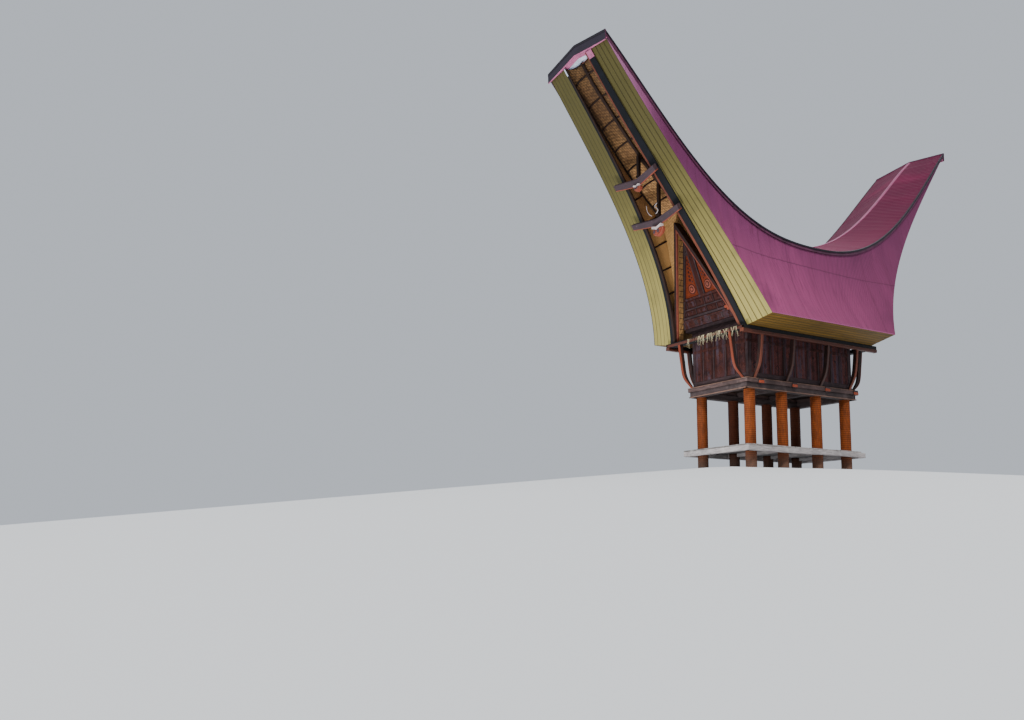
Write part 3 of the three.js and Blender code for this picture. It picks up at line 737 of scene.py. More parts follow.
def palm_finish(name, colour):
    """Worn palm trunk: fine rings, vertical fibres and dark stains, with painted shade on the left row of
    posts and more on that row's back posts.
    """
    finish = Finish(name, 0.12)
    point = finish.places(along_piece=False)
    x, y, z = finish.parts(point)
    wander = finish.noise(point, 2.5, 3.0)
    rings = ((z + wander * 0.04) * (2 * math.pi / 0.062)).math("SINE") * 0.5 + 0.5
    fibres = finish.patches(3.0, 4.0, (22, 22, 1.6))
    left_row_painted_shade = finish.band(x, 0.2, -0.2)
    inner = left_row_painted_shade * finish.band(y, -1.6, -1.3)
    tone = finish.ramp(fibres, colour, (0.3, 0.76), (0.55, 1), (0.78, 1.2))
    tone = tone.stained(rings, 0.5, 0.9, 0.5, shade(colour, 0.45))
    tone = tone.stained(finish.patches(2.2, 5.0, (1.6, 1.6, 0.8)), 0.5, 0.72, 0.45, shade(colour, 0.5))
    # Painted shade: the left row of posts darker, and its posts behind the front one darker still.
    tone = finish.mix(left_row_painted_shade * 0.35, tone, shade(colour, 0.45))
    tone = finish.mix(inner * 0.65, tone, (40, 15, 12))
    tone = tone.stained(z, 0.95, 0.15, 0.7, (84, 74, 66))
    return finish.close(tone, fibres * 0.25 + 0.55, rings * -1.2 + fibres * 0.6, 0.005)


def sheet_finish(name, low_colour, high_colour, far_painted_shade, edge_colour, streak=0.35, seam=1.15,
                 painted_shade_heights=(4.7, 8.4), verge=None):
    """Painted sheet metal: rain streaks down the ribs, seams, dull patches and a pale cut edge. Its height
    and rear gradients are painted light and shade, lighter low down and darker up high and towards the rear,
    and its dark underside is painted shade.
    """
    finish = Finish(name, 0.1)
    u, v, _ = finish.parts(finish.places())
    _, y, z = finish.parts(finish.places(along_piece=False))
    dashes = finish.grain((13.0, 1.3, 1), 1.0, 2.0)
    fall = finish.grain((8.0, 0.3, 1), 1.0, 4.0)
    broad = finish.grain((1.1, 0.25, 1), 1.0, 3.0)
    patches = finish.patches(0.9, 6.0)
    # Painted light and shade: lighter low down, darker up high and towards the rear.
    tone = finish.mix(finish.band(z, *painted_shade_heights), low_colour, high_colour)
    tone = tone.stained(y, -3.0, 4.5, 0.8, far_painted_shade)
    tone = tone.stained(fall, 0.45, 0.75, streak, shade(low_colour, 0.66))
    tone = tone.stained(broad, 0.5, 0.8, streak * 0.8, shade(low_colour, 1.22))
    tone = tone.stained(patches, 0.55, 0.75, 0.3, shade(high_colour, 0.72))
    tone = tone.stained(dashes, 0.58, 0.7, streak, shade(low_colour, 0.62))
    if verge:
        tone = tone.stained(y, -5.4, -7.3, 0.55, verge)
        lap = (v - LAP_HEIGHT + u * 0.02 + fall * 0.05).math("ABSOLUTE")
        tone = tone.stained(lap, 0.028, 0.01, 0.45, shade(high_colour, 0.55))
    joint = finish.band((u / seam).math("FRACT"), 0.012, 0.0)
    tone = finish.mix(joint * 0.6, tone, shade(high_colour, 0.5))
    tone = tone.stained(v, 0.03, 0.014, 1, edge_colour)
    # Painted shade: the underside, and the part of the rim next to it, darkened.
    tone = tone.stained(v, UNDERSIDE * 0.6, UNDERSIDE * 0.7, 1, (40, 34, 26))
    return finish.close(tone, fall * 0.25 + 0.5, joint * -1.0 + patches * 0.2)


def layered_finish(name, colour, strip, wide=0.1, fresh=0.93):
    """Stacked split bamboo: strips with thin dark joints, fibres and weathered patches, and painted shade
    that darkens it towards the top.
    """
    finish = Finish(name, 0.3)
    v = finish.parts(finish.places())[1]
    z = finish.parts(finish.places(along_piece=False))[2]
    fibres = finish.grain((1.4, 40, 1), 2.0, 4.0, 0.2)
    joint = finish.band((v / strip).math("FRACT").math("PINGPONG", 0.5), wide, wide / 3)
    tone = finish.ramp(fibres, colour, (0.25, 0.78), (0.5, 1), (0.8, 1.12))
    tone = tone.stained(finish.grain((0.35, 9, 1), 1.0, 2.0), 0.4, 0.7, 0.5, shade(colour, fresh))
    tone = tone.stained(finish.patches(1.3, 5.0), 0.5, 0.75, 0.45, shade(colour, 0.6))
    # Painted shade: darker towards the top of the verges.
    tone = tone.stained(z, 4.4, 9.6, 0.9, (76, 70, 32))
    tone = finish.mix(joint * 0.75, tone, (48, 42, 18))
    return finish.close(tone, fibres * 0.25 + 0.55, joint * -1.4 + fibres * 0.5, 0.004)


def woven_finish(name, colour):
    """Woven split bamboo mat: a diagonal twill of flat strips, with painted light lower down, darker towards
    the bottom, and painted shade high up under the crown.
    """
    finish = Finish(name, 0.25)
    u, v, _ = finish.parts(finish.places())
    height = finish.parts(finish.places(along_piece=False))[2]
    across, down = (u + v) / WEAVE_STRIP, (u - v) / WEAVE_STRIP
    over = ((across.math("FLOOR") + down.math("FLOOR") * 2) * 0.25).math("FRACT") > 0.45
    inside, beside = (way.math("FRACT").math("PINGPONG", 0.5) for way in (across, down))
    edge = inside * over + beside * (1 - over)
    tint = finish.grain((14, 14, 1), 1.0, 1.0)
    tone = finish.mix(over, shade(colour, 1.12), shade(colour, 0.84))
    tone = tone.stained(tint, 0.42, 0.62, 0.6, shade(colour, 0.6))
    tone = tone.stained(edge, 0.12, 0.02, 0.35, shade(colour, 0.55))
    tone = tone.stained(finish.patches(0.9, 5.0), 0.48, 0.75, 0.5, (116, 80, 56))
    tone = tone.stained(finish.grain((1.1, 3.2, 1), 1.4, 4.0), 0.5, 0.7, 0.6, (92, 66, 44))
    # Painted light lower down, darker again towards the bottom, and painted shade high up under the crown.
    tone = tone.stained(height, 8.4, 7.0, 0.45, (196, 152, 88))
    tone = tone.stained(height, 6.2, 4.8, 0.85, (74, 56, 34))
    tone = finish.mix(finish.band(height, 8.5, 10.2), tone, (172, 170, 168), "MULTIPLY")
    return finish.close(tone, tint * 0.2 + 0.6, finish.band(edge, 0.0, 0.3), 0.0015)


def carved_finish(name, ground, relief, pitch=0.085, boards=0.0):
    """Shallow carved and painted board: interlaced rounds in rows, worn to the dark wood. Boards is how much
    the single upright boards show: some darker, some bluish grey as a painted reflection."""
    finish = Finish(name, 0.12)
    u, v, _ = finish.parts(finish.places())
    along, up = ((way * (2 * math.pi / pitch)).math("SINE") for way in (u, v))
    bend = finish.grain((9, 9, 1), 1.0, 2.0)
    cut = finish.band((along * up + (bend - 0.5) * 1.2).math("ABSOLUTE"), 0.1, 0.32)
    fibres = finish.grain((1.2, 30, 1), 3.0, 4.0)
    tone = finish.mix(cut * 0.75, ground, relief)
    tone = tone.stained(fibres, 0.5, 0.75, 0.4, shade(ground, 0.6))
    tone = tone.stained(finish.patches(4.0, 6.0), 0.52, 0.74, 0.7, shade(ground, 0.8))
    if boards:
        # Upright streaks: the bluish-grey ones are a painted reflection, the darker ones the boards' own
        # tone.
        upright = finish.patches(1.0, 2.0, (9, 9, 0.5))
        tone = tone.stained(upright, 0.5, 0.62, boards, (66, 60, 72))
        tone = tone.stained(upright, 0.44, 0.36, boards * 0.8, shade(ground, 0.5))
    return finish.close(tone, fibres * 0.2 + 0.55, cut * 0.8 + fibres * 0.4, 0.003)


def painted_finish(name, colour, chips):
    """Painted timber: brush marks, faded places and chips to the wood."""
    finish = Finish(name, 0.35)
    brush = finish.grain((1.0, 34, 1), 3.0, 4.0, 0.2)
    spots = finish.patches(11.0, 5.0)
    tone = finish.ramp(brush, colour, (0.28, 0.74), (0.5, 1), (0.75, 1.2))
    tone = tone.stained(finish.patches(2.2, 5.0), 0.48, 0.76, 0.5, shade(colour, 0.62))
    tone = tone.stained(spots, 0.62, 0.7, 0.75, chips)
    return finish.close(tone, brush * 0.2 + 0.45, brush * 0.5 - finish.band(spots, 0.6, 0.7), 0.0015)


def plain_finish(name, colour, roughness):
    """A quiet finish for small parts, with soft patches."""
    finish = Finish(name, 0.35)
    patches = finish.patches(6.0, 4.0)
    tone = finish.mix(finish.band(patches, 0.35, 0.7) * 0.6, colour, shade(colour, 0.68))
    return finish.close(tone, patches * 0.2 + roughness - 0.1, patches, 0.001)


class Palette:
    """The barn's finishes, made once and shared by its pieces."""

    def __init__(self, size):
        self.trunk = palm_finish("Palm trunk", to_bytes(size.post_colour))
        self.deck = wood("Deck plank", (158, 152, 150), 0.62, 1.25, worn=(188, 184, 180),
                         plank_width=size.plank_width)
        self.deck_below = wood("Floor plank", (50, 37, 32), 0.6, 1.25, plank_width=0.22)
        self.plank = wood("Weathered plank", (158, 152, 152), 0.6, 1.25, worn=(190, 186, 184))
        self.dark_beam = wood("Aged beam", (58, 47, 47), 0.55, 1.35, worn=(90, 77, 75))
        self.pale_strip = wood("Light beam edge", (110, 84, 73), 0.6, 1.2, worn=(136, 112, 100))
        self.sill = wood("Weathered sill", (76, 59, 57), 0.6, 1.3, worn=(112, 94, 90))
        self.joist_end = painted_finish("Orange joist end", (140, 58, 30), (72, 40, 30))
        # One carved wall finish in two brightnesses: the side copy lighter, as painted light, and the front
        # and rear copy darker, as painted shade.
        self.wall = carved_finish("Carved wall", (36, 25, 30), (104, 56, 50), boards=0.7)
        self.wall_front_painted_shade = carved_finish("Carved front wall", (28, 20, 24), (80, 44, 40), boards=0.6)
        self.wall_red = carved_finish("Carved wall band", (36, 22, 23), (78, 39, 30), 0.07, boards=0.45)
        self.wall_rail = wood("Wall rail", (50, 35, 37), 0.5, 1.4, worn=(82, 62, 64))
        self.strut_edge = painted_finish("Orange strut edge", to_bytes(size.strut_colour), (104, 54, 36))
        # Painted shade: darker copies of the strut edge for the side struts, brown at the corners and dark in
        # the middle.
        self.strut_shaded = painted_finish("Brown strut edge", (104, 50, 32), (70, 38, 28))
        self.strut_edge_painted_shade = painted_finish("Dark strut edge", (58, 32, 26), (84, 44, 32))
        self.strut_side = wood("Dark strut side", (40, 23, 20), 0.5, 1.5)
        self.plate = painted_finish("Red-brown plate", (72, 34, 23), (48, 28, 22))
        self.black = wood("Black board", (13, 14, 18), 0.55, 1.6, worn=(34, 36, 42), worn_amount=0.25)
        self.verge = wood("Blue-black board", (11, 13, 20), 0.5, 1.7, worn=(30, 36, 50), worn_amount=0.3)
        self.rim = painted_finish("Orange-brown rim", (104, 50, 30), (60, 36, 28))
        self.rim_painted_shade = wood("Dark rim side", (44, 27, 20), 0.5, 1.5)
        # Painted shade: a dark copy of the rim.
        self.layers = layered_finish("Bamboo layers", to_bytes(size.bamboo_colour), MASS / size.layer_count)
        self.eave_layers = layered_finish("Eave layers", (90, 66, 17), MASS / EAVE_LAYERS, 0.2, 1.5)
        # Each sheet takes a low, a high and a rear colour; its gradients between them are painted light and
        # shade.
        self.side_sheet = sheet_finish("Mauve sheet", (143, 68, 106), to_bytes(size.sheet_colour),
                                       (98, 46, 76), (150, 84, 122), verge=(186, 126, 164))
        self.crest_sheet = sheet_finish("Crimson sheet", (130, 30, 74), (78, 24, 52), (90, 26, 54),
                                        (92, 40, 66), 0.25, 0.9, (7.4, 9.4))
        self.trim = painted_finish("Dark trim", (21, 9, 23), (60, 34, 60))
        self.trim_side = painted_finish("Plum trim", (78, 36, 60), (48, 26, 42))
        self.fascia = painted_finish("Violet-grey fascia", (36, 26, 42), (26, 20, 30))
        self.ridge = painted_finish("Pink ridge cap", (146, 66, 104), (110, 52, 82))
        self.under = painted_finish("Pink underside", (198, 110, 150), (150, 80, 116))
        # Pale sheet: its bluish white is partly the sheet's own colour and partly a painted reflection of the
        # sky.
        self.pale_sheet_sky_reflection = plain_finish("Pale sheet", (222, 230, 246), 0.45)
        self.mat = woven_finish("Woven mat", (174, 130, 84))
        self.batten = wood("Dark batten", (44, 27, 20), 0.5, 1.5)
        self.gable_red = carved_finish("Gable board", (29, 16, 16), (70, 32, 26), 0.06)
        self.gable_orange = carved_finish("Orange gable panel", (68, 27, 14), (124, 50, 22), 0.07)
        self.ribbed = wood("Ribbed brown board", (140, 104, 62), 0.5, 1.25, 8.0)
        self.frame_edge = painted_finish("Orange frame edge", (112, 50, 34), (74, 40, 30))
        self.frame_side = wood("Gable frame", (42, 23, 20), 0.5, 1.5)
        self.yoke = painted_finish("Grey-violet arm", (64, 47, 54), (90, 70, 74))
        self.yoke_under = painted_finish("Red-brown underside", (138, 64, 44), (88, 44, 34))
        self.white = plain_finish("White paint", (214, 200, 198), 0.5)
        self.straw = wood("Dry straw", (206, 196, 160), 0.7, 1.15, 3.0)
        self.disc = painted_finish("Sun disc", (128, 62, 44), (78, 38, 28))


def to_bytes(colour):
    """A colour property, linear, as the 8 bit display colour that the finishes take."""
    return tuple(255 * (c * 12.92 if c <= 0.0031308 else 1.055 * c ** (1 / 2.4) - 0.055) for c in colour[:3])


# Places that pieces are made in

def front_wall_place(points):
    """From (along the wall, out of its inner face, up) to the front wall."""
    return np.stack([points[:, 0], -(WALL_HALF[1] - WALL_THICKNESS) - points[:, 1], points[:, 2]], 1)


def right_wall_place(points):
    """The same to the right wall."""
    return np.stack([WALL_HALF[0] - WALL_THICKNESS + points[:, 1], points[:, 0], points[:, 2]], 1)


def on_gable(points):
    """From (across, out of the leaning gable, height) to the front gable."""
    return np.stack([points[:, 0], -gable_y(points[:, 2]) - points[:, 1], points[:, 2]], 1)


def gable_plane(across, height, depth):
    return on_gable(np.stack([across, np.full_like(across, depth), height], 1))


def settle(piece, slot, *nodes):
    """Puts a piece in the root body and hides the solids that it stands for. The slot is not used."""
    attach(piece, "root")
    if nodes:
        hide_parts(*nodes)


SHARED = {}


def palette():
    if "finishes" not in SHARED:
        SHARED["finishes"] = Palette(bpy.context.scene.barn)
    return SHARED["finishes"]


def circle(count):
    """The angles of a number of equal steps around a circle."""
    return np.arange(count) * 2 * math.pi / count


def lozenge(piece, u, w, reach, near, far, place, tag, sides=4):
    """A raised stud with a sloping rim on a wall: a lozenge, or a round one with more sides."""
    angles = circle(sides)
    rings = []
    for depth, radius in ((near, reach), (near + (far - near) * 0.6, reach), (far, reach * 0.72)):
        flat = np.stack([u + np.cos(angles) * radius, np.full(sides, depth), w + np.sin(angles) * radius], 1)
        rings.append(place(flat))
    piece.loft(rings, tag)


def rod(piece, path, radius, tag=0):
    """A thin round rod along a path."""
    path = np.asarray(path, float)
    ahead = np.gradient(path, axis=0)
    ahead /= np.linalg.norm(ahead, axis=1)[:, None]
    side = np.cross(ahead, (0.0, 1.0, 0.0) if abs(ahead[0][1]) < 0.9 else (0.0, 0.0, 1.0))
    side /= np.linalg.norm(side, axis=1)[:, None]
    up = np.cross(side, ahead)
    piece.loft([[p + radius * (math.cos(a) * sv + math.sin(a) * uv) for a in circle(8)]
                for p, sv, uv in zip(path, side, up)], tag)


def beam_ring(piece, half, width, levels, tag, insets=(0.012, 0.002), edge=0.01):
    """Beams around a rectangle, two along Y and then two along X, whose tops are a hair lower."""
    for sign in (-1, 1):
        piece.block((sign * half[0], insets[0] - half[1], levels[0]),
                    (sign * (half[0] - width), half[1] - insets[0], levels[1]), tag, edge)
        piece.block((insets[1] - half[0], sign * half[1], levels[0]),
                    (half[0] - insets[1], sign * (half[1] - width), levels[1] - 0.001), tag, edge)


def ribbed_sheet(recipe, name, base, run, finish, pitch, height):
    """Ribs over a base of two skins, counted by the run along each. The base is used up."""
    skins = {"run": np.concatenate([run.ravel()] * 2), "side": np.repeat([1.0, -1.0], run.size)}
    for label, values in skins.items():
        stored = base.data.attributes.new(label, "FLOAT", "POINT")
        stored.data.foreach_set("value", values.astype(np.float32))
    sheet = recipe.run(name, finish, base.data, 60, Pitch=pitch, Height=height)
    bpy.data.objects.remove(base)
    return sheet


# The properties that a user would change

def colour_setting(name, description, colour):
    return bpy.props.FloatVectorProperty(name=name, description=description, subtype="COLOR", size=4,
                                         min=0.0, max=1.0, default=linear(colour))


def size_setting(name, description, default):
    return bpy.props.FloatProperty(name=name, description=description, default=default, min=0.0,
                                   unit="LENGTH", subtype="DISTANCE")


class BarnSettings(bpy.types.PropertyGroup):
    """Sizes and colours of the barn's visible pieces"""
    post_colour: colour_setting("Posts", "Colour of the palm trunk posts", (124, 60, 24))
    strut_colour: colour_setting("Struts", "Colour of the front struts' outer edge", (106, 43, 21))
    bamboo_colour: colour_setting("Bamboo", "Colour of the layered bamboo at the verges", (158, 146, 80))
    sheet_colour: colour_setting("Sheets", "Colour of the corrugated side sheets", (104, 50, 86))
    ring_spacing: size_setting("Ring spacing", "Distance between the rings of a post", 0.085)
    rib_pitch: size_setting("Rib pitch", "Distance between the ribs of the side sheets", 0.12)
    rib_height: size_setting("Rib height", "Height of the ribs of the sheets", 0.007)
    plank_width: size_setting("Plank width", "Width of the platform's planks", 0.2)
    batten_spacing: size_setting("Batten spacing", "Distance between the battens under the mats", 0.72)
    straw_length: size_setting("Straw length", "Length of the longest straw over the front plate", 0.34)
    layer_count: bpy.props.IntProperty(name="Layers", description="Number of bamboo layers at a verge",
                                       default=5, min=4, max=24)


class BARN_OT_posts(bpy.types.Operator):
    """Eight palm trunk posts"""
    bl_idname = "barn.posts"
    bl_label = "Posts"

    def execute(self, context):
        size, finish = context.scene.barn, palette()
        recipe = palm_trunk()
        for side, sign in SIDE_SIGNS.items():
            for k, y in enumerate(POST_YS):
                name = f"post_{side}_{k + 1}"
                trunk = recipe.run(
                    f"{name}_trunk", finish.trunk, smooth=40, Place=(sign * POST_ROW_X, y, 0.0),
                    Ring_spacing=size.ring_spacing, Seed=k + 1 + (5 if sign > 0 else 0))
                settle(trunk, "post_wood", name)
        return {"FINISHED"}


class BARN_OT_platform(bpy.types.Operator):
    """Sitting platform: loose planks on a frame of beams"""
    bl_idname = "barn.platform"
    bl_label = "Platform"

    def execute(self, context):
        size, finish = context.scene.barn, palette()
        half_x, half_y = PLATFORM_HALF
        inner_x, inner_y = half_x - PLATFORM_BEAM_WIDTH, half_y - PLATFORM_BEAM_WIDTH
        planks = plank_row().run(
            "platform_planks", finish.deck, Count=int(2 * half_y / size.plank_width),
            Pitch=size.plank_width, Length=2 * half_x - 0.03,
            Start=(0.0, size.plank_width / 2 - half_y, PLATFORM_TOP - 0.022))
        settle(planks, "platform_wood", "platform")
        beams = Piece("platform_frame", 2)
        bottom = PLATFORM_TOP - PLATFORM_BEAM_HEIGHT
        for sign in (-1, 1):
            split = 0.4 * sign
            for low, high, drop in ((0.012 - half_y, split, 0.0), (split, half_y - 0.012, 0.012)):
                beams.block((sign * half_x, low, bottom + drop),
                            (sign * inner_x, high - 0.004, PLATFORM_TOP - 0.05 + drop * 0.5), 0, 0.012)
            beams.block((0.01 - half_x, sign * half_y, bottom),
                        (half_x - 0.01, sign * inner_y, PLATFORM_TOP - 0.046), 0, 0.012)
        low, high = BEARER_Z
        for y in POST_YS:
            beams.block((0.02 - half_x, y - 0.05, low), (half_x - 0.02, y + 0.05, high), 0, 0.01)
            for sign in (-1, 1):
                beams.block((sign * (half_x + 0.006), y - 0.03, low + 0.025),
                            (sign * (half_x - 0.03), y + 0.03, high - 0.025), 0, 0.012)
        settle(beams.make([finish.plank]), "platform_wood", "platform")
        return {"FINISHED"}


class BARN_OT_floor_frame(bpy.types.Operator):
    """Ring beams, sill and cross joists with orange ends, and the floor's planks"""
    bl_idname = "barn.floor_frame"
    bl_label = "Floor frame"

    def execute(self, context):
        finish = palette()
        piece = Piece("floor_frame_beams", 3)
        strip_half = [half + 0.006 for half in SILL_HALF]
        lip_half = [half + 0.022 for half in RING_HALF]
        beam_ring(piece, RING_HALF, RING_WIDTH, RING_Z, 0)
        beam_ring(piece, SILL_HALF, SILL_WIDTH, (SILL_Z[0], SILL_STRIP_Z), 3)
        beam_ring(piece, strip_half, 0.2, (SILL_STRIP_Z, SILL_Z[1]), 1)
        beam_ring(piece, lip_half, 0.042, (RING_Z[0], RING_Z[0] + 0.03), 1, (0, 0), 0.006)
        end = SILL_HALF[0] + JOIST_PROUD
        for y in JOIST_YS:
            low, high = JOIST_Z
            piece.block((0.01 - end, y - 0.095, low), (end - 0.01, y + 0.095, high), 0, 0.01)
            low, high = JOIST_END_Z
            for sign in (-1, 1):
                piece.block((sign * (end - 0.045), y - 0.1, low), (sign * end, y + 0.1, high), 2, 0.012)
                piece.block((sign * (end - 0.03), y - 0.06, 2.625), (sign * (end + 0.008), y + 0.06, 2.685),
                            2, 0.01)
        piece = piece.make([finish.dark_beam, finish.pale_strip, finish.joist_end, finish.sill])
        settle(piece, "floor_beam_wood", "floor_frame")
        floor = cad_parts["floor"].data.materials
        floor.clear()
        floor.append(finish.deck_below)
        return {"FINISHED"}


class BARN_OT_walls(bpy.types.Operator):
    """Four carved walls: rails, stiles, carved fields and rows of lozenges"""
    bl_idname = "barn.walls"
    bl_label = "Walls"

    def execute(self, context):
        finish = palette()
        # The front and rear walls take the darker copy of the carved finish, as painted shade.
        ends = WALL_HALF[0], END_STILES, front_wall_place, 1, finish.wall_front_painted_shade
        sides = WALL_HALF[1] - WALL_THICKNESS - GAP, SIDE_STILES, right_wall_place, 0, finish.wall
        for side, kind in {"front": ends, "rear": ends, "right": sides, "left": sides}.items():
            wall = self.wall(Piece(f"{side}_wall_carving", 11), *kind[:4])
            wall = wall.make([kind[4], finish.wall_red, finish.wall_rail], turned=side in ("rear", "left"))
            settle(wall, "wall_wood", f"{side}_wall")
        return {"FINISHED"}

    @staticmethod
    def wall(piece, half, stiles, place, relief):
        """Board, rails and stiles, then each field's rim, lozenges and upright lines. Relief is the
        tag of the carved parts."""
        bottom, top = WALL_Z
        lower, upper = WALL_FIELDS_Z
        rails = ((bottom, lower[0], 0.052, 2), (lower[1], upper[0], 0.05, 1), (upper[1], top, 0.052, 2))

        def block(u0, d0, w0, u1, d1, w1, tag, edge=0.005):
            piece.block((u0, d0, w0), (u1, d1, w1), tag, edge, place)

        block(-half, 0.0, bottom, half, 0.03, top, 0)
        for low, high, depth, tag in rails:
            block(-half, 0.01, low, half, depth, high, tag)
        edges = sorted([0.05 - half, *(-u for u in stiles), *stiles, half - 0.05])
        for u in edges:
            wide = 0.05 if u in (edges[0], edges[-1]) else 0.028
            block(u - wide, 0.01, bottom + 0.1, u + wide, 0.047, top - 0.1, 2)
        rim = 0.014
        for left, right in zip(edges, edges[1:]):
            left, right = left + 0.035, right - 0.035
            middle = (left + right) / 2
            for low, high in WALL_FIELDS_Z:
                for u0, u1, w0, w1 in ((left, left + rim, low, high), (right - rim, right, low, high),
                                       (left, right, low, low + rim), (left, right, high - rim, high)):
                    block(u0, 0.02, w0, u1, 0.04, w1, 1, 0.003)
                rows = max(1, round((high - low) / 0.42))
                reach = min(0.15, (right - left) / 2 - 0.05)
                for k in range(rows):
                    w = low + (k + 0.5) * (high - low) / rows
                    for share, far, tag in ((1.0, 0.036, relief), (0.7, 0.042, 0), (0.42, 0.05, relief)):
                        lozenge(piece, middle, w, reach * share, 0.022, far, place, tag)
                for side in (-1, 1):
                    for inset in (0.035, 0.062):
                        u = middle + side * ((right - left) / 2 - inset)
                        block(u - 0.007, 0.02, low + 0.03, u + 0.007, 0.036, high - 0.03, relief, 0.003)
        return piece


class BARN_OT_struts(bpy.types.Operator):
    """Twelve bent struts with an orange outer edge"""
    bl_idname = "barn.struts"
    bl_label = "Struts"

    def execute(self, context):
        finish = palette()
        foot_z = SILL_Z[1] + GAP
        for k, y in enumerate(POST_YS):
            # Painted shade: the side struts take darker copies of the edge, the middle ones the darkest.
            edge = finish.strut_shaded if k in (0, len(POST_YS) - 1) else finish.strut_edge_painted_shade
            for side, sign in SIDE_SIGNS.items():
                def place(out, up, across, y=y):
                    return np.stack([out + SILL_HALF[0] - 0.005, y + across, up + foot_z], -1)
                piece = self.strut(Piece(f"strut_{side}_{k + 1}_bent", k), SIDE_BEND, place)
                piece = piece.make([finish.strut_side, edge], 35, mirrored=sign < 0)
                settle(piece, "strut_wood", f"strut_{side}_{k + 1}")
        for end in END_SIGNS:
            for side, sign in SIDE_SIGNS.items():
                x = sign * END_STRUT_X * (1 if end == "front" else -1)

                def place(out, up, across, x=x):
                    return np.stack([x + across, -out - SILL_HALF[1], up + foot_z], -1)
                piece = self.strut(Piece(f"strut_{end}_{side}_bent", 7), END_BEND, place)
                piece = piece.make([finish.strut_side, finish.strut_edge], 35, turned=end == "rear")
                settle(piece, "strut_wood", f"strut_{end}_{side}")
        return {"FINISHED"}

    @staticmethod
    def strut(piece, bend, place):
        """A strut whose painted edge wraps a little around the sides. The bend is its reach, the
        kink's reach and height, and its height."""
        reach, kink, kink_up, height = bend
        half, half_up = (kink + reach) / 2 + 0.02, (kink_up + height) / 2
        outer = smooth_path([(0, 0), (kink, kink_up), (half, half_up), (reach, height)], 30)
        inner = smooth_path([(-0.065, 0), (kink - 0.125, kink_up + 0.05), (half - 0.15, half_up),
                             (reach - 0.15, height)], 30)
        wide, edge, wrap = 0.0425, 0.007, 0.026
        near = [(0, wide - edge), (edge, wide), (wrap, wide), (wrap + 0.004, wide - 0.006),
                (-edge, wide - 0.006), (0.0, wide - 0.012)]
        far = [(depth, -across) for depth, across in near]
        section = [far[0], *near, *far[:0:-1]]
        at_back = range(5, 9)
        rings = []
        for a, b in zip(outer, inner):
            size = np.linalg.norm(b - a)
            unit = (b - a) / size
            flat = [a + unit * (size + depth if k in at_back else depth)
                    for k, (depth, _) in enumerate(section)]
            rings.append([place(out, up, across) for (out, up), (_, across) in zip(flat, section)])
        piece.loft(rings, [1] * 4 + [0] * 5 + [1] * 3)
        return piece


class BARN_OT_roof_plates(bpy.types.Operator):
    """Red-brown plates on the struts, with black boards over them"""
    bl_idname = "barn.roof_plates"
    bl_label = "Roof plates"

    def execute(self, context):
        finish = palette()
        piece = Piece("roof_plate_beams", 5)
        seat = float(inner_slope(0.0, 0.0)[2]) - GAP
        half_x, half_y = PLATE_HALF
        low, high = PLATE_Z
        for sign in (-1, 1):
            for near, far, tag, edge in (
                    ((sign * (half_x - 0.12), -half_y, low), (sign * half_x, half_y, high - 0.02), 0, 0.008),
                    ((sign * (half_x - 0.105), 0.01 - half_y, high - 0.022),
                     (sign * (half_x + 0.006), half_y - 0.01, high), 0, 0.006),
                    ((sign * (half_x - 0.05), -half_y, high - 0.001),
                     (sign * half_x, half_y, seat), 1, 0.006),
                    ((0.01 - half_x, sign * (half_y - 0.26), high),
                     (half_x - 0.01, sign * (half_y - 0.015), seat), 1, 0.006),
                    ((-half_x, sign * (half_y - 0.03), high + 0.002),
                     (half_x, sign * half_y, high + 0.08), 0, 0.006)):
                piece.block(near, far, tag, edge)
            for end in (-1, 1):
                piece.block((sign * (half_x - 0.13), end * (half_y - 0.02), low - 0.005),
                            (sign * (half_x + 0.01), end * (half_y + 0.012), high + 0.005),
                            2 if sign * end < 0 else 0, 0.01)
        piece = piece.make([finish.plate, finish.black, finish.rim])
        settle(piece, "plate_wood", "roof_plates")
        return {"FINISHED"}


class BARN_OT_roof_layers(bpy.types.Operator):
    """The two slopes of layered split bamboo, stepped at the verges and the eaves"""
    bl_idname = "barn.roof_layers"
    bl_label = "Roof layers"

    def execute(self, context):
        size, finish = context.scene.barn, palette()
        outer = SHEET + GAP
        t, v = np.meshgrid(np.linspace(-1, 1, 121), np.linspace(0, 1, 41), indexing="ij")
        for side, sign in SIDE_SIGNS.items():
            piece = Piece(f"roof_layers_{side}", 6)
            surfaces, places = [], []
            for layer in range(size.layer_count):
                for part in (layer, layer + 1):
                    share = part / size.layer_count
                    depth = outer + (MASS - outer) * part / size.layer_count
                    notch = LAYER_NOTCH if part == layer + 1 and layer < size.layer_count - 1 else 0.0
                    grid = slope(t, v, depth, INNER_FORWARD * share - notch, INNER_DROP * share - notch * 0.3)
                    surfaces.append(grid)
                    places.append(np.stack([grid[..., 1] + 0.6 * grid[..., 2], np.full_like(t, depth)], -1))
            piece.stack(surfaces, places, (0, 0, (0, 0, 0, 1)))
            piece = piece.make([finish.layers, finish.eave_layers], 30, mirrored=sign < 0)
            settle(piece, "roof_layers", f"roof_mass_{side}")
        return {"FINISHED"}


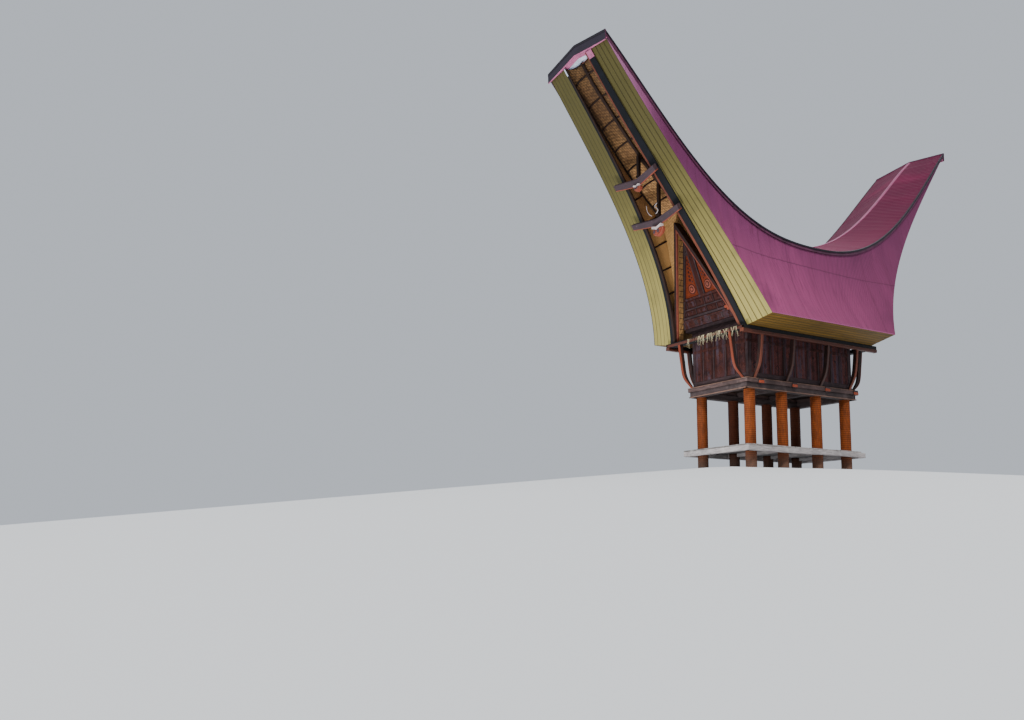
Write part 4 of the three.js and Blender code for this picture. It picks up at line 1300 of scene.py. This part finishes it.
class BARN_OT_side_sheets(bpy.types.Operator):
    """Corrugated sheets over the two steep slopes"""
    bl_idname = "barn.side_sheets"
    bl_label = "Side sheets"

    def execute(self, context):
        size, finish = context.scene.barn, palette()
        recipe = corrugation()
        t, v = np.meshgrid(np.linspace(-1, 1, 801), np.linspace(0, 1, 27), indexing="ij")
        for side, sign in SIDE_SIGNS.items():
            piece = Piece(f"side_sheet_base_{side}", 7)
            surfaces = [slope(t, v, depth) for depth in (0.004, 0.019)]
            place = np.stack([surfaces[0][..., 1], surfaces[0][..., 2] - EAVE_Z], -1)
            # Far beyond any height on the outer face, so that the finish can tell the underside and paint it
            # dark as painted shade; on the left farther still, so that the painted shade covers nearly all of
            # the rim
            inner = UNDERSIDE if sign > 0 else UNDERSIDE * 20
            piece.stack(surfaces, [place, place + (0.0, inner)])
            base = piece.make([], 30, mirrored=sign < 0)
            sheet = ribbed_sheet(recipe, f"side_sheet_{side}", base, t * 4.0, finish.side_sheet,
                                 size.rib_pitch, size.rib_height)
            settle(sheet, "side_sheet", f"metal_side_{side}")
        return {"FINISHED"}


class BARN_OT_crest(bpy.types.Operator):
    """The crest: corrugated top faces, shoulder trims, ridge cap, and the tips' fascias"""
    bl_idname = "barn.crest"
    bl_label = "Crest"

    def execute(self, context):
        size, finish = context.scene.barn, palette()
        recipe = corrugation()
        y = np.linspace(-SHOULDER_TIP_Y, SHOULDER_TIP_Y, 1501)
        along = run_along(np.stack([y, ridge_z(y)], 1))
        grid_y, grid_s = np.meshgrid(y, np.linspace(0.0, 1.0, 7), indexing="ij")
        edge = crest_edge(grid_y)
        x = 0.03 + (edge - 0.06) * grid_s
        run = along[:, None] + 0 * grid_s
        place = np.stack([run, grid_s * 1.7 + 0.4], -1)
        share = x / edge
        for side, sign in SIDE_SIGNS.items():
            top = np.stack([sign * x, grid_y + nose(grid_y, share), crest_z(grid_y, share) - 0.004], -1)
            piece = Piece(f"crest_base_{side}", 8)
            piece.stack([top, top - (0, 0, 0.014)], [place, place])
            sheet = ribbed_sheet(recipe, f"crest_sheet_{side}", piece.make([], 30), run, finish.crest_sheet,
                                 size.rib_pitch * 0.85, size.rib_height)
            settle(sheet, "crest_sheet", "metal_top")
        piece = Piece("crest_trims", 9)
        self.shoulder_trims(piece)
        for sign in (-1, 1):
            self.fascia(piece, sign)
        for sign in (-1, 1):
            self.tip_soffit(piece, sign)
        finishes = [finish.under, finish.trim, finish.ridge, finish.fascia, finish.pale_sheet_sky_reflection, finish.trim_side,
                    finish.batten]
        settle(piece.make(finishes, 30), "crest_sheet", "metal_top")
        return {"FINISHED"}

    @staticmethod
    def shoulder_trims(piece):
        """The crest's body under its sheets, a folded trim along each shoulder, and the ridge cap."""
        y = np.linspace(-SHOULDER_TIP_Y + LIP_THICKNESS, SHOULDER_TIP_Y - LIP_THICKNESS, 121)
        fold = 0.93
        across = np.array([-1.0, -fold, -0.5, 0.0, 0.5, fold, 1.0])
        grid_y, grid_s = np.meshgrid(y, across, indexing="ij")
        x = grid_s * (crest_edge(grid_y) - 0.014)
        share = np.abs(grid_s)
        out = grid_y + nose(grid_y, share)
        top = np.stack([x, out, crest_z(grid_y, share) - 0.05], -1)
        bottom = np.stack([x, out, crest_z(grid_y, np.where(share == fold, 1.0, share)) - TRIM_DEPTH], -1)
        place = np.stack([grid_y, x], -1)
        piece.stack([top, bottom], [place, place], (1, 5, 5))
        section = ((-0.045, 0.01), (0.006, 0.004), (0.006, -0.048), (-0.012, -0.048), (-0.012, -0.02),
                   (-0.045, -0.012))
        for sign in (-1, 1):
            rings = [np.stack([sign * (crest_edge(y) + dx), y, shoulder_z(y) + dz + slope_rise(y, dx)], -1)
                     for dx, dz in section]
            piece.loft(np.stack(rings, 1), 1)
        y = np.linspace(-SHOULDER_TIP_Y, SHOULDER_TIP_Y, 121)
        section = ((-0.08, -0.02), (-0.08, 0.0), (-0.02, 0.022), (0.02, 0.022), (0.08, 0.0), (0.08, -0.02))
        rings = [np.stack([np.full_like(y, x), y + nose(y), ridge_z(y) + dz - 0.016], -1)
                 for x, dz in section]
        piece.loft(np.stack(rings, 1), 2)

    @staticmethod
    def fascia(piece, sign):
        """Three bands across a tip: the dark edge, the fascia and the pink lip under it. Each band
        has the height and the sag of its top and bottom, its front and back, and its tag."""
        share = np.linspace(-1, 1, 41)
        x = share * crest_edge(SHOULDER_TIP_Y)
        share = np.abs(share)
        reach = SHOULDER_TIP_Y + nose(SHOULDER_TIP_Y, share)
        for top, bottom, front, back, tag in (
                ((0.006, 0.0), (-0.07, 0.0), 0.004, -0.032, 1),
                ((-0.065, 0.0), (-0.3, 0.02), -0.002, -0.03, 3),
                ((-0.295, 0.02), (-LIP_MIDDLE, LIP_MIDDLE - LIP_DEPTH), -0.003, -0.029, 0)):
            high, low = (crest_z(SHOULDER_TIP_Y, share) + height + sag * share ** 3
                         for height, sag in (top, bottom))
            rings = [np.stack([x, sign * (reach + out), z], -1)
                     for out, z in ((front, high), (front, low), (back, low), (back, high))]
            piece.loft(np.stack(rings, 1), [tag, tag, 5, 5])

    @staticmethod
    def tip_soffit(piece, sign):
        """The closing faces under a tip: a pink band behind the lip, then pale sheet to the mats, its bluish
        white partly a painted reflection of the sky.
        """
        samples = np.linspace(-1, 1, 81)
        limit = float(inner_slope(1.0, 1.0)[0])
        rows = []
        for sample in samples:
            x, share = sample * (crest_edge(SHOULDER_TIP_Y) - 0.02), abs(sample)
            low = crest_z(SHOULDER_TIP_Y, share) - LIP_MIDDLE + (LIP_MIDDLE - LIP_DEPTH) * share ** 3
            arch_y, arch_z = arch_at(x)
            beside = min(max((abs(x) - limit) / 0.12, 0.0), 1.0)
            back = POLE_REACH + 0.012 + (TIP_Y - POLE_REACH) * beside
            front = SHOULDER_TIP_Y - 0.034 + nose(SHOULDER_TIP_Y, share)
            level = max(low - 0.015, arch_z + 0.01)
            skin = crest_z(back, abs(x) / crest_edge(back)) - TRIM_DEPTH
            rows.append([(x, front, low + 0.006), (x, max(front - 0.12, back + 0.005), level),
                         (x, back, max(min(level, skin - 0.02), arch_z + 0.006)),
                         (x, min(arch_y, back) - 0.004, arch_z + 0.004)])
        grid = np.array(rows) * (1, sign, 1)
        start, faces = len(piece.tags), len(samples) - 1
        piece.stack([grid, grid + (0, 0, 0.012)], [grid[..., :2]] * 2)
        for k, (a, b) in enumerate(zip(samples, samples[1:])):
            if abs(a + b) / 2 * SHOULDER_TIP_X < limit + 0.2:
                for face in (start + k * 3, start + (faces + k) * 3):
                    piece.tags[face + 1:face + 3] = [4, 6]


def slope_rise(y, dx):
    """How far the top face rises from the shoulder's edge to a place beside it."""
    return (ridge_z(y) - shoulder_z(y)) * max(-dx, 0) / crest_edge(y)


def arch_at(x):
    """Y and Z of the front edge of the mats' crown, or of the layers beside it, at a place across."""
    limit, _, side_z = inner_slope(1.0, 1.0)
    if abs(x) >= limit:
        return LAYERS_TIP_Y, side_z + 0.03
    side = SIDE_SHARE / 2
    s = solve(lambda share: vault(1.0, side + share * (0.5 - side), 0.0, 1.0)[0] > -abs(x))
    return vault(1.0, side + s * (0.5 - side), 0.0, 1.0)[1:]


class BARN_OT_soffits(bpy.types.Operator):
    """Woven mats inside the overhangs, their battens, and the ridge pole"""
    bl_idname = "barn.soffits"
    bl_label = "Soffits"

    def execute(self, context):
        size, finish = context.scene.barn, palette()
        t, s = np.meshgrid(np.linspace(-1, -0.5, 41), np.linspace(0, 1, MAT_STEPS + 1), indexing="ij")
        at_end = np.clip((-t - FREE_END) / (1 - FREE_END), 0, 1)
        surfaces = [vault(t, s, lift, at_end) for lift in (0.0, MAT)]
        inside = surfaces[1]
        across = run_along(inside.transpose(1, 0, 2)).T
        across -= across[:, [MAT_STEPS // 2]]
        along = run_along(inside[:, MAT_STEPS // 4])[:, None] + 0 * across
        place = np.stack([along, across], -1)
        battens = bars_on_paths()
        for end, sign in END_SIGNS.items():
            piece = Piece(f"soffit_weave_{end}", 12)
            piece.stack(surfaces, [place, place])
            piece = piece.make([finish.mat], 50, turned=sign > 0)
            settle(piece, "soffit_mat", f"soffit_mat_{end}")
            paths = [vault(np.linspace(-0.985, -0.52, 40), rib, RIB_DEPTH) for rib in RIB_PLACES]
            for place_t in np.arange(-0.946, -0.49, size.batten_spacing / CURVE_LENGTH):
                paths.append(vault(place_t, np.linspace(*RIB_PLACES, 41), BATTEN_DEPTH))
            for height in (0.2, 0.29, 0.38, 0.47, 0.56):
                paths += self.side_rib(height)
            base = wires(f"batten_paths_{end}", paths, turned=sign > 0)
            bars = battens.run(f"soffit_battens_{end}", finish.batten, base, 40, Radius=0.026, Sides=7)
            settle(bars, "pole_wood")
        self.pole(finish)
        return {"FINISHED"}

    @staticmethod
    def side_rib(height):
        """A rib on both sides of the vault: it leaves the verge squarely at a share of its height."""
        start = -0.965
        verge = inner_slope(start, height)
        along = inner_slope(start, height + 0.01) - verge
        t = np.linspace(start, -0.55, 25)
        v = np.array([solve(lambda share: (inner_slope(place, share) - verge) @ along > 0) for place in t])
        inside = v < 0.98
        s = v[inside] * SIDE_SHARE / 2
        return [vault(t[inside], s, BATTEN_DEPTH), vault(t[inside], 1 - s, BATTEN_DEPTH)]

    @staticmethod
    def pole(finish):
        y = np.concatenate([[-POLE_REACH], np.linspace(-7.0, 7.0, 61), [POLE_REACH]])
        at_end = (np.abs(y) >= POLE_REACH).astype(float)
        middle = crown_z(y / (TIP_Y + INNER_FORWARD), at_end) - MAT - GAP - POLE_RADIUS
        rings = [[(math.cos(a) * POLE_RADIUS, place_y, z + math.sin(a) * POLE_RADIUS) for a in circle(14)]
                 for place_y, z in zip(y, middle)]
        pole = Piece("ridge_pole_round", 13)
        pole.loft(rings)
        settle(pole.make([finish.batten], 50), "pole_wood", "ridge_pole")


def wires(name, paths, turned):
    """A mesh of open paths for a recipe to follow."""
    points, edges = [], []
    for path in paths:
        start = len(points)
        points += [tuple(p) for p in path * ((-1, -1, 1) if turned else (1, 1, 1))]
        edges += [(k, k + 1) for k in range(start, len(points) - 1)]
    mesh = bpy.data.meshes.new(name)
    mesh.from_pydata(points, edges, [])
    return mesh


class BARN_OT_verge_boards(bpy.types.Operator):
    """Blue-black boards inside the verges, with an orange-brown rim towards the mats"""
    bl_idname = "barn.verge_boards"
    bl_label = "Verge boards"

    def execute(self, context):
        finish = palette()
        s = np.linspace(0, 1, 121)
        step = np.minimum(s, 1 - s) * 2
        up = np.clip(step / SIDE_SHARE, 0, 1)
        over = np.clip((step - SIDE_SHARE) / (1 - SIDE_SHARE), 0, 1)
        width = 0.24 + (0.1 - 0.24) * up - 0.045 * over
        rim = 0.085 - 0.045 * up

        def line(inset, out):
            point = vault(-1.0, s, inset, 1.0)
            point[:, 1] -= GAP + out * (1 - 0.66 * up)
            return point

        cover = np.where(s > 0.5, 0.15, 0.0) * np.clip(up * 1.6, 0, 1) * (1 - over)
        split = width - rim
        board = np.stack([line(-cover, -0.004), line(-cover, 0.052), line(0.008 - cover, 0.058),
                          line(split, 0.08), line(split, 0.0)], 1)
        edge = np.stack([line(split - 0.004, 0.0), line(split - 0.004, 0.088), line(split + 0.006, 0.096),
                         line(width - 0.006, 0.1), line(width, 0.094), line(width, 0.0)], 1)
        first, last = np.searchsorted(s, RIB_PLACES)
        half = len(s) // 2 + 1
        finishes = [finish.verge, finish.rim, finish.rim_painted_shade, finish.pale_sheet_sky_reflection, finish.under]
        for end, sign in END_SIGNS.items():
            piece = Piece(f"verge_boards_{end}_pair", 14)
            piece.loft(board[:first], 0)
            # Across the crown the board takes the pale sheet, whose bluish white is partly a painted
            # reflection of the sky.
            piece.loft(board[first - 1:last], 3)
            piece.loft(board[last - 1:last + 1], 4)
            piece.loft(board[last:], 0)
            # Painted shade: one half of the rim, and the rim's inner faces, take its dark copy.
            piece.loft(edge[:half], 2)
            piece.loft(edge[half - 1:], [1, 1, 1, 1, 2, 2])
            settle(piece.make(finishes, 40, turned=sign > 0), "verge_wood", f"verge_boards_{end}")
        return {"FINISHED"}


class BARN_OT_gable_panels(bpy.types.Operator):
    """Leaning gables: rails, two tall orange panels with sun discs, small panels and a header"""
    bl_idname = "barn.gable_panels"
    bl_label = "Gable panels"

    def execute(self, context):
        finish = palette()
        levels = np.linspace(GABLE_BASE_Z, GABLE_TOP_Z, 11)
        right = [(vault_half_width(gable_y(z), z) - 0.018, z) for z in levels]
        outline = right + [(-x, z) for x, z in reversed(right)]
        finishes = [finish.gable_red, finish.gable_orange, finish.wall_rail, finish.ribbed, finish.joist_end,
                    finish.disc, finish.mat, finish.wall_red]
        for end, sign in END_SIGNS.items():
            piece = self.panel(Piece(f"gable_panel_{end}_carving", 15), outline)
            piece = piece.make(finishes, 25, turned=sign > 0)
            settle(piece, "gable_wood", f"gable_panel_{end}")
        return {"FINISHED"}

    @staticmethod
    def panel(piece, outline):
        """A gable from its mat outwards, in heights over the ground and depths out of its plane."""
        def board(shape, near, far, tag, edge=0.006):
            piece.slab(shape, near, far, gable_plane, tag, edge)

        def box(x0, x1, z0, z1, near, far, tag, edge=0.005):
            piece.block((x0, near, z0), (x1, far, z1), tag, edge, on_gable)

        board(outline, -0.06, -0.03, 6)
        low_z, top_z = PANEL_Z

        def edge_x(z, shift=0.0):
            """Half the width of the middle panel at a height."""
            return PANEL_HALF * (top_z - z) / (top_z - low_z) + shift

        board([(-edge_x(low_z), low_z), (edge_x(low_z), low_z), (0.02, top_z), (-0.02, top_z)],
              -0.04, -0.012, 0)
        for sign in (-1, 1):
            for corners, near, far, tag in (
                    (((edge_x(low_z, -0.06), low_z), (edge_x(low_z, 0.08), low_z), (0.08, top_z),
                      (0.0, top_z - 0.1)), -0.03, 0.022, 2),
                    (((edge_x(low_z, 0.085), low_z), (edge_x(low_z, 0.27), low_z), (0.27, top_z),
                      (0.09, top_z)), -0.04, 0.004, 3)):
                board([(sign * x, z) for x, z in corners], near, far, tag)
            for k in range(16):
                z = low_z + 0.1 + k * 0.14
                box(sign * edge_x(z, 0.085), sign * edge_x(z, 0.27), z, z + 0.022, 0.0, 0.014, 3, 0.004)
            # Tall panel in two steps, with a sun disc and a rising row of lozenges
            for x, low, high, insets, near, far in ((0.135, 5.44, 6.62, (-0.1, -0.1), -0.02, 0.002),
                                                    (0.175, 5.5, 6.45, (-0.17, -0.16), 0.0, 0.012)):
                board([(sign * x, low), (sign * edge_x(low, insets[0]), low),
                       (sign * edge_x(high, insets[1]), high), (sign * x, high)], near, far, 1)
            for radius, near, far, tag in ((0.15, 0.0, 0.02, 0), (0.118, 0.012, 0.028, 5),
                                           (0.078, 0.02, 0.034, 0), (0.048, 0.028, 0.042, 5)):
                lozenge(piece, sign * 0.34, 5.66, radius, near, far, on_gable, tag, 20)
            for k in range(6):
                lozenge(piece, sign * (0.32 - 0.022 * k), 5.92 + 0.11 * k, 0.05 - 0.004 * k, 0.006, 0.024,
                        on_gable, 0)
                lozenge(piece, sign * (0.24 - 0.012 * k), 5.86 + 0.11 * k, 0.028, 0.006, 0.022, on_gable, 7)
        # Middle post and rails
        for half, low, high, near, far, tag in (
                (0.12, 5.4, 6.95, -0.02, 0.028, 2), (0.07, 5.44, 6.9, 0.02, 0.036, 0),
                (edge_x(6.66), 6.62, 6.7, -0.02, 0.026, 2), (edge_x(5.43), 5.38, 5.44, -0.02, 0.032, 7),
                (edge_x(5.12), 5.11, 5.145, -0.02, 0.026, 2), (edge_x(4.9), 4.865, 4.93, -0.02, 0.03, 2)):
            box(-half, half, low, high, near, far, tag)
        # Two rows of small fields
        for low, high in ((4.93, 5.11), (5.145, 5.38)):
            half = edge_x(high) - 0.1
            for k in range(4):
                x0 = -half + k * half / 2
                x1 = x0 + half / 2
                box(x0 + 0.02, x1 - 0.02, low + 0.015, high - 0.015, -0.02, 0.004, 0)
                box(x0 + 0.06, x1 - 0.06, low + 0.045, high - 0.045, 0.0, 0.012, 7)
                lozenge(piece, (x0 + x1) / 2, (low + high) / 2, 0.05, 0.008, 0.024, on_gable, 0)
                box(x0 - 0.012, x0 + 0.012, low, high, -0.02, 0.016, 2)
        # Header beam with its fields, two orange blocks on it, and the sill behind it
        box(-1.15, 1.15, 4.6, 4.85, -0.06, 0.03, 2, 0.008)
        box(-1.15, 1.15, 4.8, 4.85, 0.0, 0.044, 7)
        box(-1.15, 1.15, 4.6, 4.645, 0.0, 0.044, 7)
        for k in range(5):
            x = -1.12 + 0.56 * k
            box(x - 0.025, x + 0.025, 4.64, 4.81, 0.02, 0.042, 2)
            if k < 4:
                box(x + 0.06, x + 0.5, 4.66, 4.79, 0.02, 0.036, 7)
                lozenge(piece, x + 0.28, 4.725, 0.06, 0.03, 0.046, on_gable, 0)
        box(0.76, 0.98, 4.86, 4.93, 0.02, 0.085, 4, 0.012)
        box(0.83, 0.91, 4.8, 5.0, 0.02, 0.075, 4, 0.012)
        piece.block((-1.145, -2.6, 4.4998), (1.145, -2.25, 4.61), 2, 0.008)
        # Split bamboo over the apex
        for k in range(12):
            x = -0.33 + 0.06 * k
            box(x - 0.012, x + 0.012, 6.9, 7.86 - abs(x) * 1.1, -0.035, 0.0, 3)
        return piece


class BARN_OT_gable_frames(bpy.types.Operator):
    """The two deep rafters in front of each gable"""
    bl_idname = "barn.gable_frames"
    bl_label = "Gable frames"

    def execute(self, context):
        finish = palette()
        foot, apex, wide = FRAME_FOOT_Z, FRAME_TOP_Z, RAFTER_WIDTH
        across = FRAME_FOOT_X / (apex - foot)

        def rafter(side, outside, inside):
            """A rafter's outline between two distances in from its outer edge."""
            return [(side * (FRAME_FOOT_X - outside), foot), (0.0, apex - outside / across),
                    (0.0, apex - inside / across), (side * (FRAME_FOOT_X - inside), foot)]

        for end, sign in END_SIGNS.items():
            piece = Piece(f"gable_frame_{end}_rafters", 16)
            for side in (-1, 1):
                for outside, inside, near, far, tag, edge in (
                        (0.0, wide, 0.0406, 0.296, 0, 0.008),
                        (wide - 0.036, wide + 0.007, 0.235, 0.303, 1, 0.005),
                        (wide - 0.02, wide + 0.007, 0.05, 0.236, 2, 0.005)):
                    piece.slab(rafter(side, outside, inside), near, far, gable_plane, tag, edge)
                for k in range(20):
                    z = foot + 0.12 + k * 0.15
                    x = (apex - z) * across - wide
                    piece.block((side * (x + 0.01), 0.055, z), (side * (x - 0.016), 0.22, z + 0.02), 0, 0.004,
                                on_gable)
            piece = piece.make([finish.frame_side, finish.frame_edge, finish.ribbed], 30, turned=sign > 0)
            settle(piece, "gable_frame_wood", f"gable_frame_{end}")
        return {"FINISHED"}


class BARN_OT_cross_arms(bpy.types.Operator):
    """Bent cross arms under the ridge, each with a king post and a pendant"""
    bl_idname = "barn.cross_arms"
    bl_label = "Cross arms"

    def execute(self, context):
        finish = palette()
        finishes = [finish.yoke, finish.yoke_under, finish.white, finish.batten]
        for level, (z, half) in ARM_LEVELS.items():
            for end, sign in END_SIGNS.items():
                piece = self.arm(Piece(f"yoke_{end}_{level}_arm", 17), z, half, level == "lower")
                settle(piece.make(finishes, 30, turned=sign > 0), "yoke_wood", f"yoke_{end}_{level}")
        return {"FINISHED"}

    @staticmethod
    def reach(height):
        """How far out the verge's inner edge is at a height."""
        return float(inner_slope(1.0, solve(lambda v: inner_slope(1.0, v)[2] > height))[1])

    @classmethod
    def arm(cls, piece, z, half, hooked):
        """An arm that leans as the verge does there, with half its length, its king post and its
        pendant. The hooked one has two white hooks and the larger pendant."""
        rise = 0.6
        lean = math.atan((cls.reach(z + rise) - cls.reach(z)) / rise)
        back = cls.reach(z) + ARM_BACK
        thick, edge = ARM_THICKNESS, 0.012
        sin, cos = math.sin(lean), math.cos(lean)

        def place(x, up, out):
            """Across, up the leaning arm and out of its back face."""
            return (x, -back - up * sin - out * cos, z + up * cos - out * sin)

        rings, lower = [], []
        for x in np.linspace(-half, half, 25):
            bend = (abs(x) / half) ** 1.08
            low, high = 0.17 * bend - 0.02, 0.135 * bend + 0.2
            rings.append([place(x, up, out) for up, out in (
                (low + 0.022, 0.0), (high - edge, 0.0), (high, edge), (high, thick - edge),
                (high - edge, thick), (low + 0.022, thick))])
            lower.append([place(x, up, out) for up, out in (
                (low, 0.004), (low + 0.024, -0.003), (low + 0.024, thick + 0.003), (low, thick - 0.004))])
        piece.loft(rings, 0)
        piece.loft(lower, 1)
        y = -back - thick / 2
        pole = float(crown_z(y / (TIP_Y + INNER_FORWARD), 0.0)) - MAT - POLE_RADIUS * 2
        piece.block((-0.05, y - 0.05, z - 0.2), (0.05, y + 0.05, pole + 0.02), 3, 0.012)
        piece.block((-0.07, y - 0.07, z + 0.2), (0.07, y + 0.07, z + 0.26), 3, 0.012)
        hooks = (((-0.46, 0.66), (-0.43, 0.5), (-0.34, 0.36), (-0.22, 0.27)),
                 ((0.02, 0.6), (-0.09, 0.53), (0.0, 0.45), (0.06, 0.36), (-0.04, 0.28)))
        for hook in hooks if hooked else ():
            rod(piece, [(x, y - 0.09, z + up) for x, up in smooth_path(hook, 22)], 0.012, 2)

        def front(across, height, depth):
            return np.stack([across, np.full_like(across, y - depth), z + height], 1)

        scale = 1.06 if hooked else 0.62
        knob = np.array([(-0.19, -0.14), (-0.215, -0.22), (-0.16, -0.32), (0.0, -0.385), (0.16, -0.32),
                         (0.215, -0.22), (0.19, -0.14), (0.0, -0.2)]) * scale
        piece.slab(knob, -0.05, 0.075, front, 1, 0.02)
        piece.slab(knob * 0.76 - (0.0, 0.05), 0.05, 0.125, front, 1, 0.03)
        cap = np.array([(-0.185, -0.065), (0.0, -0.12), (0.185, -0.065), (0.19, -0.13), (0.0, -0.205),
                        (-0.19, -0.13)]) * scale
        piece.slab(cap, 0.0, 0.135, front, 2, 0.008)
        for side in (-1, 1):
            lozenge(piece, side * 0.075 * scale, z - 0.25 * scale, 0.05 * scale, 0.0, 0.03,
                    lambda flat: np.stack([flat[:, 0], y - 0.115 - flat[:, 1], flat[:, 2]], 1), 0, 12)
        return piece


class BARN_OT_straw(bpy.types.Operator):
    """Dry straw that hangs from a thin rod along the front plate"""
    bl_idname = "barn.straw"
    bl_label = "Straw"

    def execute(self, context):
        size, finish = context.scene.barn, palette()
        draw = random.Random(21)
        y, z = STRAW_LINE
        stick = Piece("straw_rod", 18)
        rod(stick, [(x, y, z + draw.uniform(-0.006, 0.006)) for x in np.linspace(-0.68, 1.5, 25)], 0.012)
        settle(stick.make([finish.batten], 50), "plate_wood")
        points = []
        for k in range(10):
            middle = -0.58 + k * 0.22 + draw.uniform(-0.07, 0.07)
            for _ in range(draw.choice((2, 3, 4, 9, 11))):
                points.append((middle + draw.gauss(0, 0.035), y - draw.uniform(0.004, 0.018), z))
        for _ in range(16):
            points.append((draw.uniform(-0.64, 1.46), y - draw.uniform(0.004, 0.018), z))
        base = bpy.data.meshes.new("straw_points")
        base.from_pydata(points, [], [])
        straw = hanging_straw().run("straw_blades", finish.straw, base, 60, Length=size.straw_length,
                                    Thickness=0.005, Seed=4)
        settle(straw, "plate_wood")
        return {"FINISHED"}


class BARN_OT_stage(bpy.types.Operator):
    """Pale floor, soft studio light and the camera at the photograph's angle"""
    bl_idname = "barn.stage"
    bl_label = "Stage"

    def execute(self, context):
        scene = context.scene
        floor = self.floor()
        self.sun("Key light", (13.65, -12.73, 19.0), 2.8, 9, (1.0, 0.96, 0.9))
        self.sun("Fill light", (-9, -20, 4), 0.27, 45, (0.92, 0.95, 1.0))
        self.sun("Back light", (-12, 18, 20), 0.8, 45, (0.9, 0.95, 1.0))
        self.glow("Low light", (0.5, -6.8, 0.2), (0, -5.6, 8), 480, 2.2)
        world = bpy.data.worlds.new("Studio")
        world.use_nodes = True
        world.node_tree.nodes["Background"].inputs["Color"].default_value = (0.80, 0.86, 0.95, 1.0)
        world.node_tree.nodes["Background"].inputs["Strength"].default_value = 0.7
        scene.world = world
        camera = bpy.data.cameras.new("Camera")
        camera.sensor_width = 36.0
        camera.lens = 31.22
        camera.shift_y = 0.0785
        camera.clip_end = 400
        eye = bpy.data.objects.new("Camera", camera)
        eye.location = (19.506, -21.483, -1.903)
        eye.rotation_euler = (math.radians(96.251), 0.0, math.radians(58.82))
        scene.collection.objects.link(eye)
        scene.camera = eye
        return {"FINISHED"}

    @staticmethod
    def floor():
        """Level under the barn, then falling gently away, because the camera stands lower."""
        level_half, dense, far, drop = (1.6, 2.9), 6, 150, 6.0
        near = np.linspace(0, dense, 25)[:-1]
        reach = np.concatenate([near, dense * (far / dense) ** np.linspace(0, 1, 30)])
        angles = np.linspace(0, 2 * math.pi, 97)[:-1]
        points, faces = [(0.0, 0.0, 0.0)], []
        for distance in reach[1:]:
            for a in angles:
                x, y = math.cos(a), math.sin(a)
                edge = 1 / max(abs(x) / level_half[0], abs(y) / level_half[1]) + distance
                fall = max(distance - 1.0, 0.0)
                z = -0.105 * fall * fall / (fall + 1.2)
                points.append((x * edge, y * edge, max(z, -drop)))
        count = len(angles)
        faces += [(0, 1 + k, 1 + (k + 1) % count) for k in range(count)]
        for ring in range(len(reach) - 2):
            base = 1 + ring * count
            faces += [(base + k, base + count + k, base + count + (k + 1) % count, base + (k + 1) % count)
                      for k in range(count)]
        mesh = bpy.data.meshes.new("Floor")
        mesh.from_pydata(points, [], faces)
        mesh.polygons.foreach_set("use_smooth", np.ones(len(faces), bool))
        face_out(mesh)
        if mesh.polygons[0].normal.z < 0:
            mesh.flip_normals()
        ground = Finish("Studio floor", 0.2)
        speckle = ground.noise(ground.places(along_piece=False), 0.4, 2.0)
        ground.close(ground.mix(speckle * 0.1, (226, 228, 230), (210, 212, 214)), speckle * 0.05 + 0.85)
        mesh.materials.append(ground.material)
        return shown("Floor", mesh)

    @staticmethod
    def hang(name, lamp, place, target):
        holder = bpy.data.objects.new(name, lamp)
        holder.location = place
        holder.rotation_euler = (Vector(target) - Vector(place)).to_track_quat("-Z", "Y").to_euler()
        bpy.context.scene.collection.objects.link(holder)

    @classmethod
    def sun(cls, name, place, strength, spread, colour):
        """A broad, even light that comes from a place's direction."""
        lamp = bpy.data.lights.new(name, "SUN")
        lamp.energy = strength
        lamp.angle = math.radians(spread)
        lamp.color = colour
        cls.hang(name, lamp, place, (0, 0, 0))

    @classmethod
    def glow(cls, name, place, target, power, size):
        """A soft round light that lifts the shade under the overhang."""
        lamp = bpy.data.lights.new(name, "AREA")
        lamp.shape = "DISK"
        lamp.energy = power
        lamp.size = size
        cls.hang(name, lamp, place, target)


PIECE_OPERATORS = (
    BARN_OT_posts, BARN_OT_platform, BARN_OT_floor_frame, BARN_OT_walls, BARN_OT_struts,
    BARN_OT_roof_plates, BARN_OT_roof_layers, BARN_OT_side_sheets, BARN_OT_crest, BARN_OT_soffits,
    BARN_OT_verge_boards, BARN_OT_gable_panels, BARN_OT_gable_frames, BARN_OT_cross_arms, BARN_OT_straw,
    BARN_OT_stage,
)


class BARN_PT_panel(bpy.types.Panel):
    """The barn's sizes, colours and pieces"""
    bl_idname = "BARN_PT_panel"
    bl_label = "Barn"
    bl_space_type = "VIEW_3D"
    bl_region_type = "UI"
    bl_category = "Barn"

    def draw(self, context):
        for name in BarnSettings.__annotations__:
            self.layout.prop(context.scene.barn, name)
        for operator in PIECE_OPERATORS:
            self.layout.operator(operator.bl_idname)


CLASSES = (BarnSettings, *PIECE_OPERATORS, BARN_PT_panel)


def register():
    for part in CLASSES:
        bpy.utils.register_class(part)
    bpy.types.Scene.barn = bpy.props.PointerProperty(type=BarnSettings)


def unregister():
    del bpy.types.Scene.barn
    for part in reversed(CLASSES):
        bpy.utils.unregister_class(part)


def main():
    register()
    for operator in PIECE_OPERATORS:
        family, name = operator.bl_idname.split(".")
        getattr(getattr(bpy.ops, family), name)()


if __name__ == "__main__":
    main()
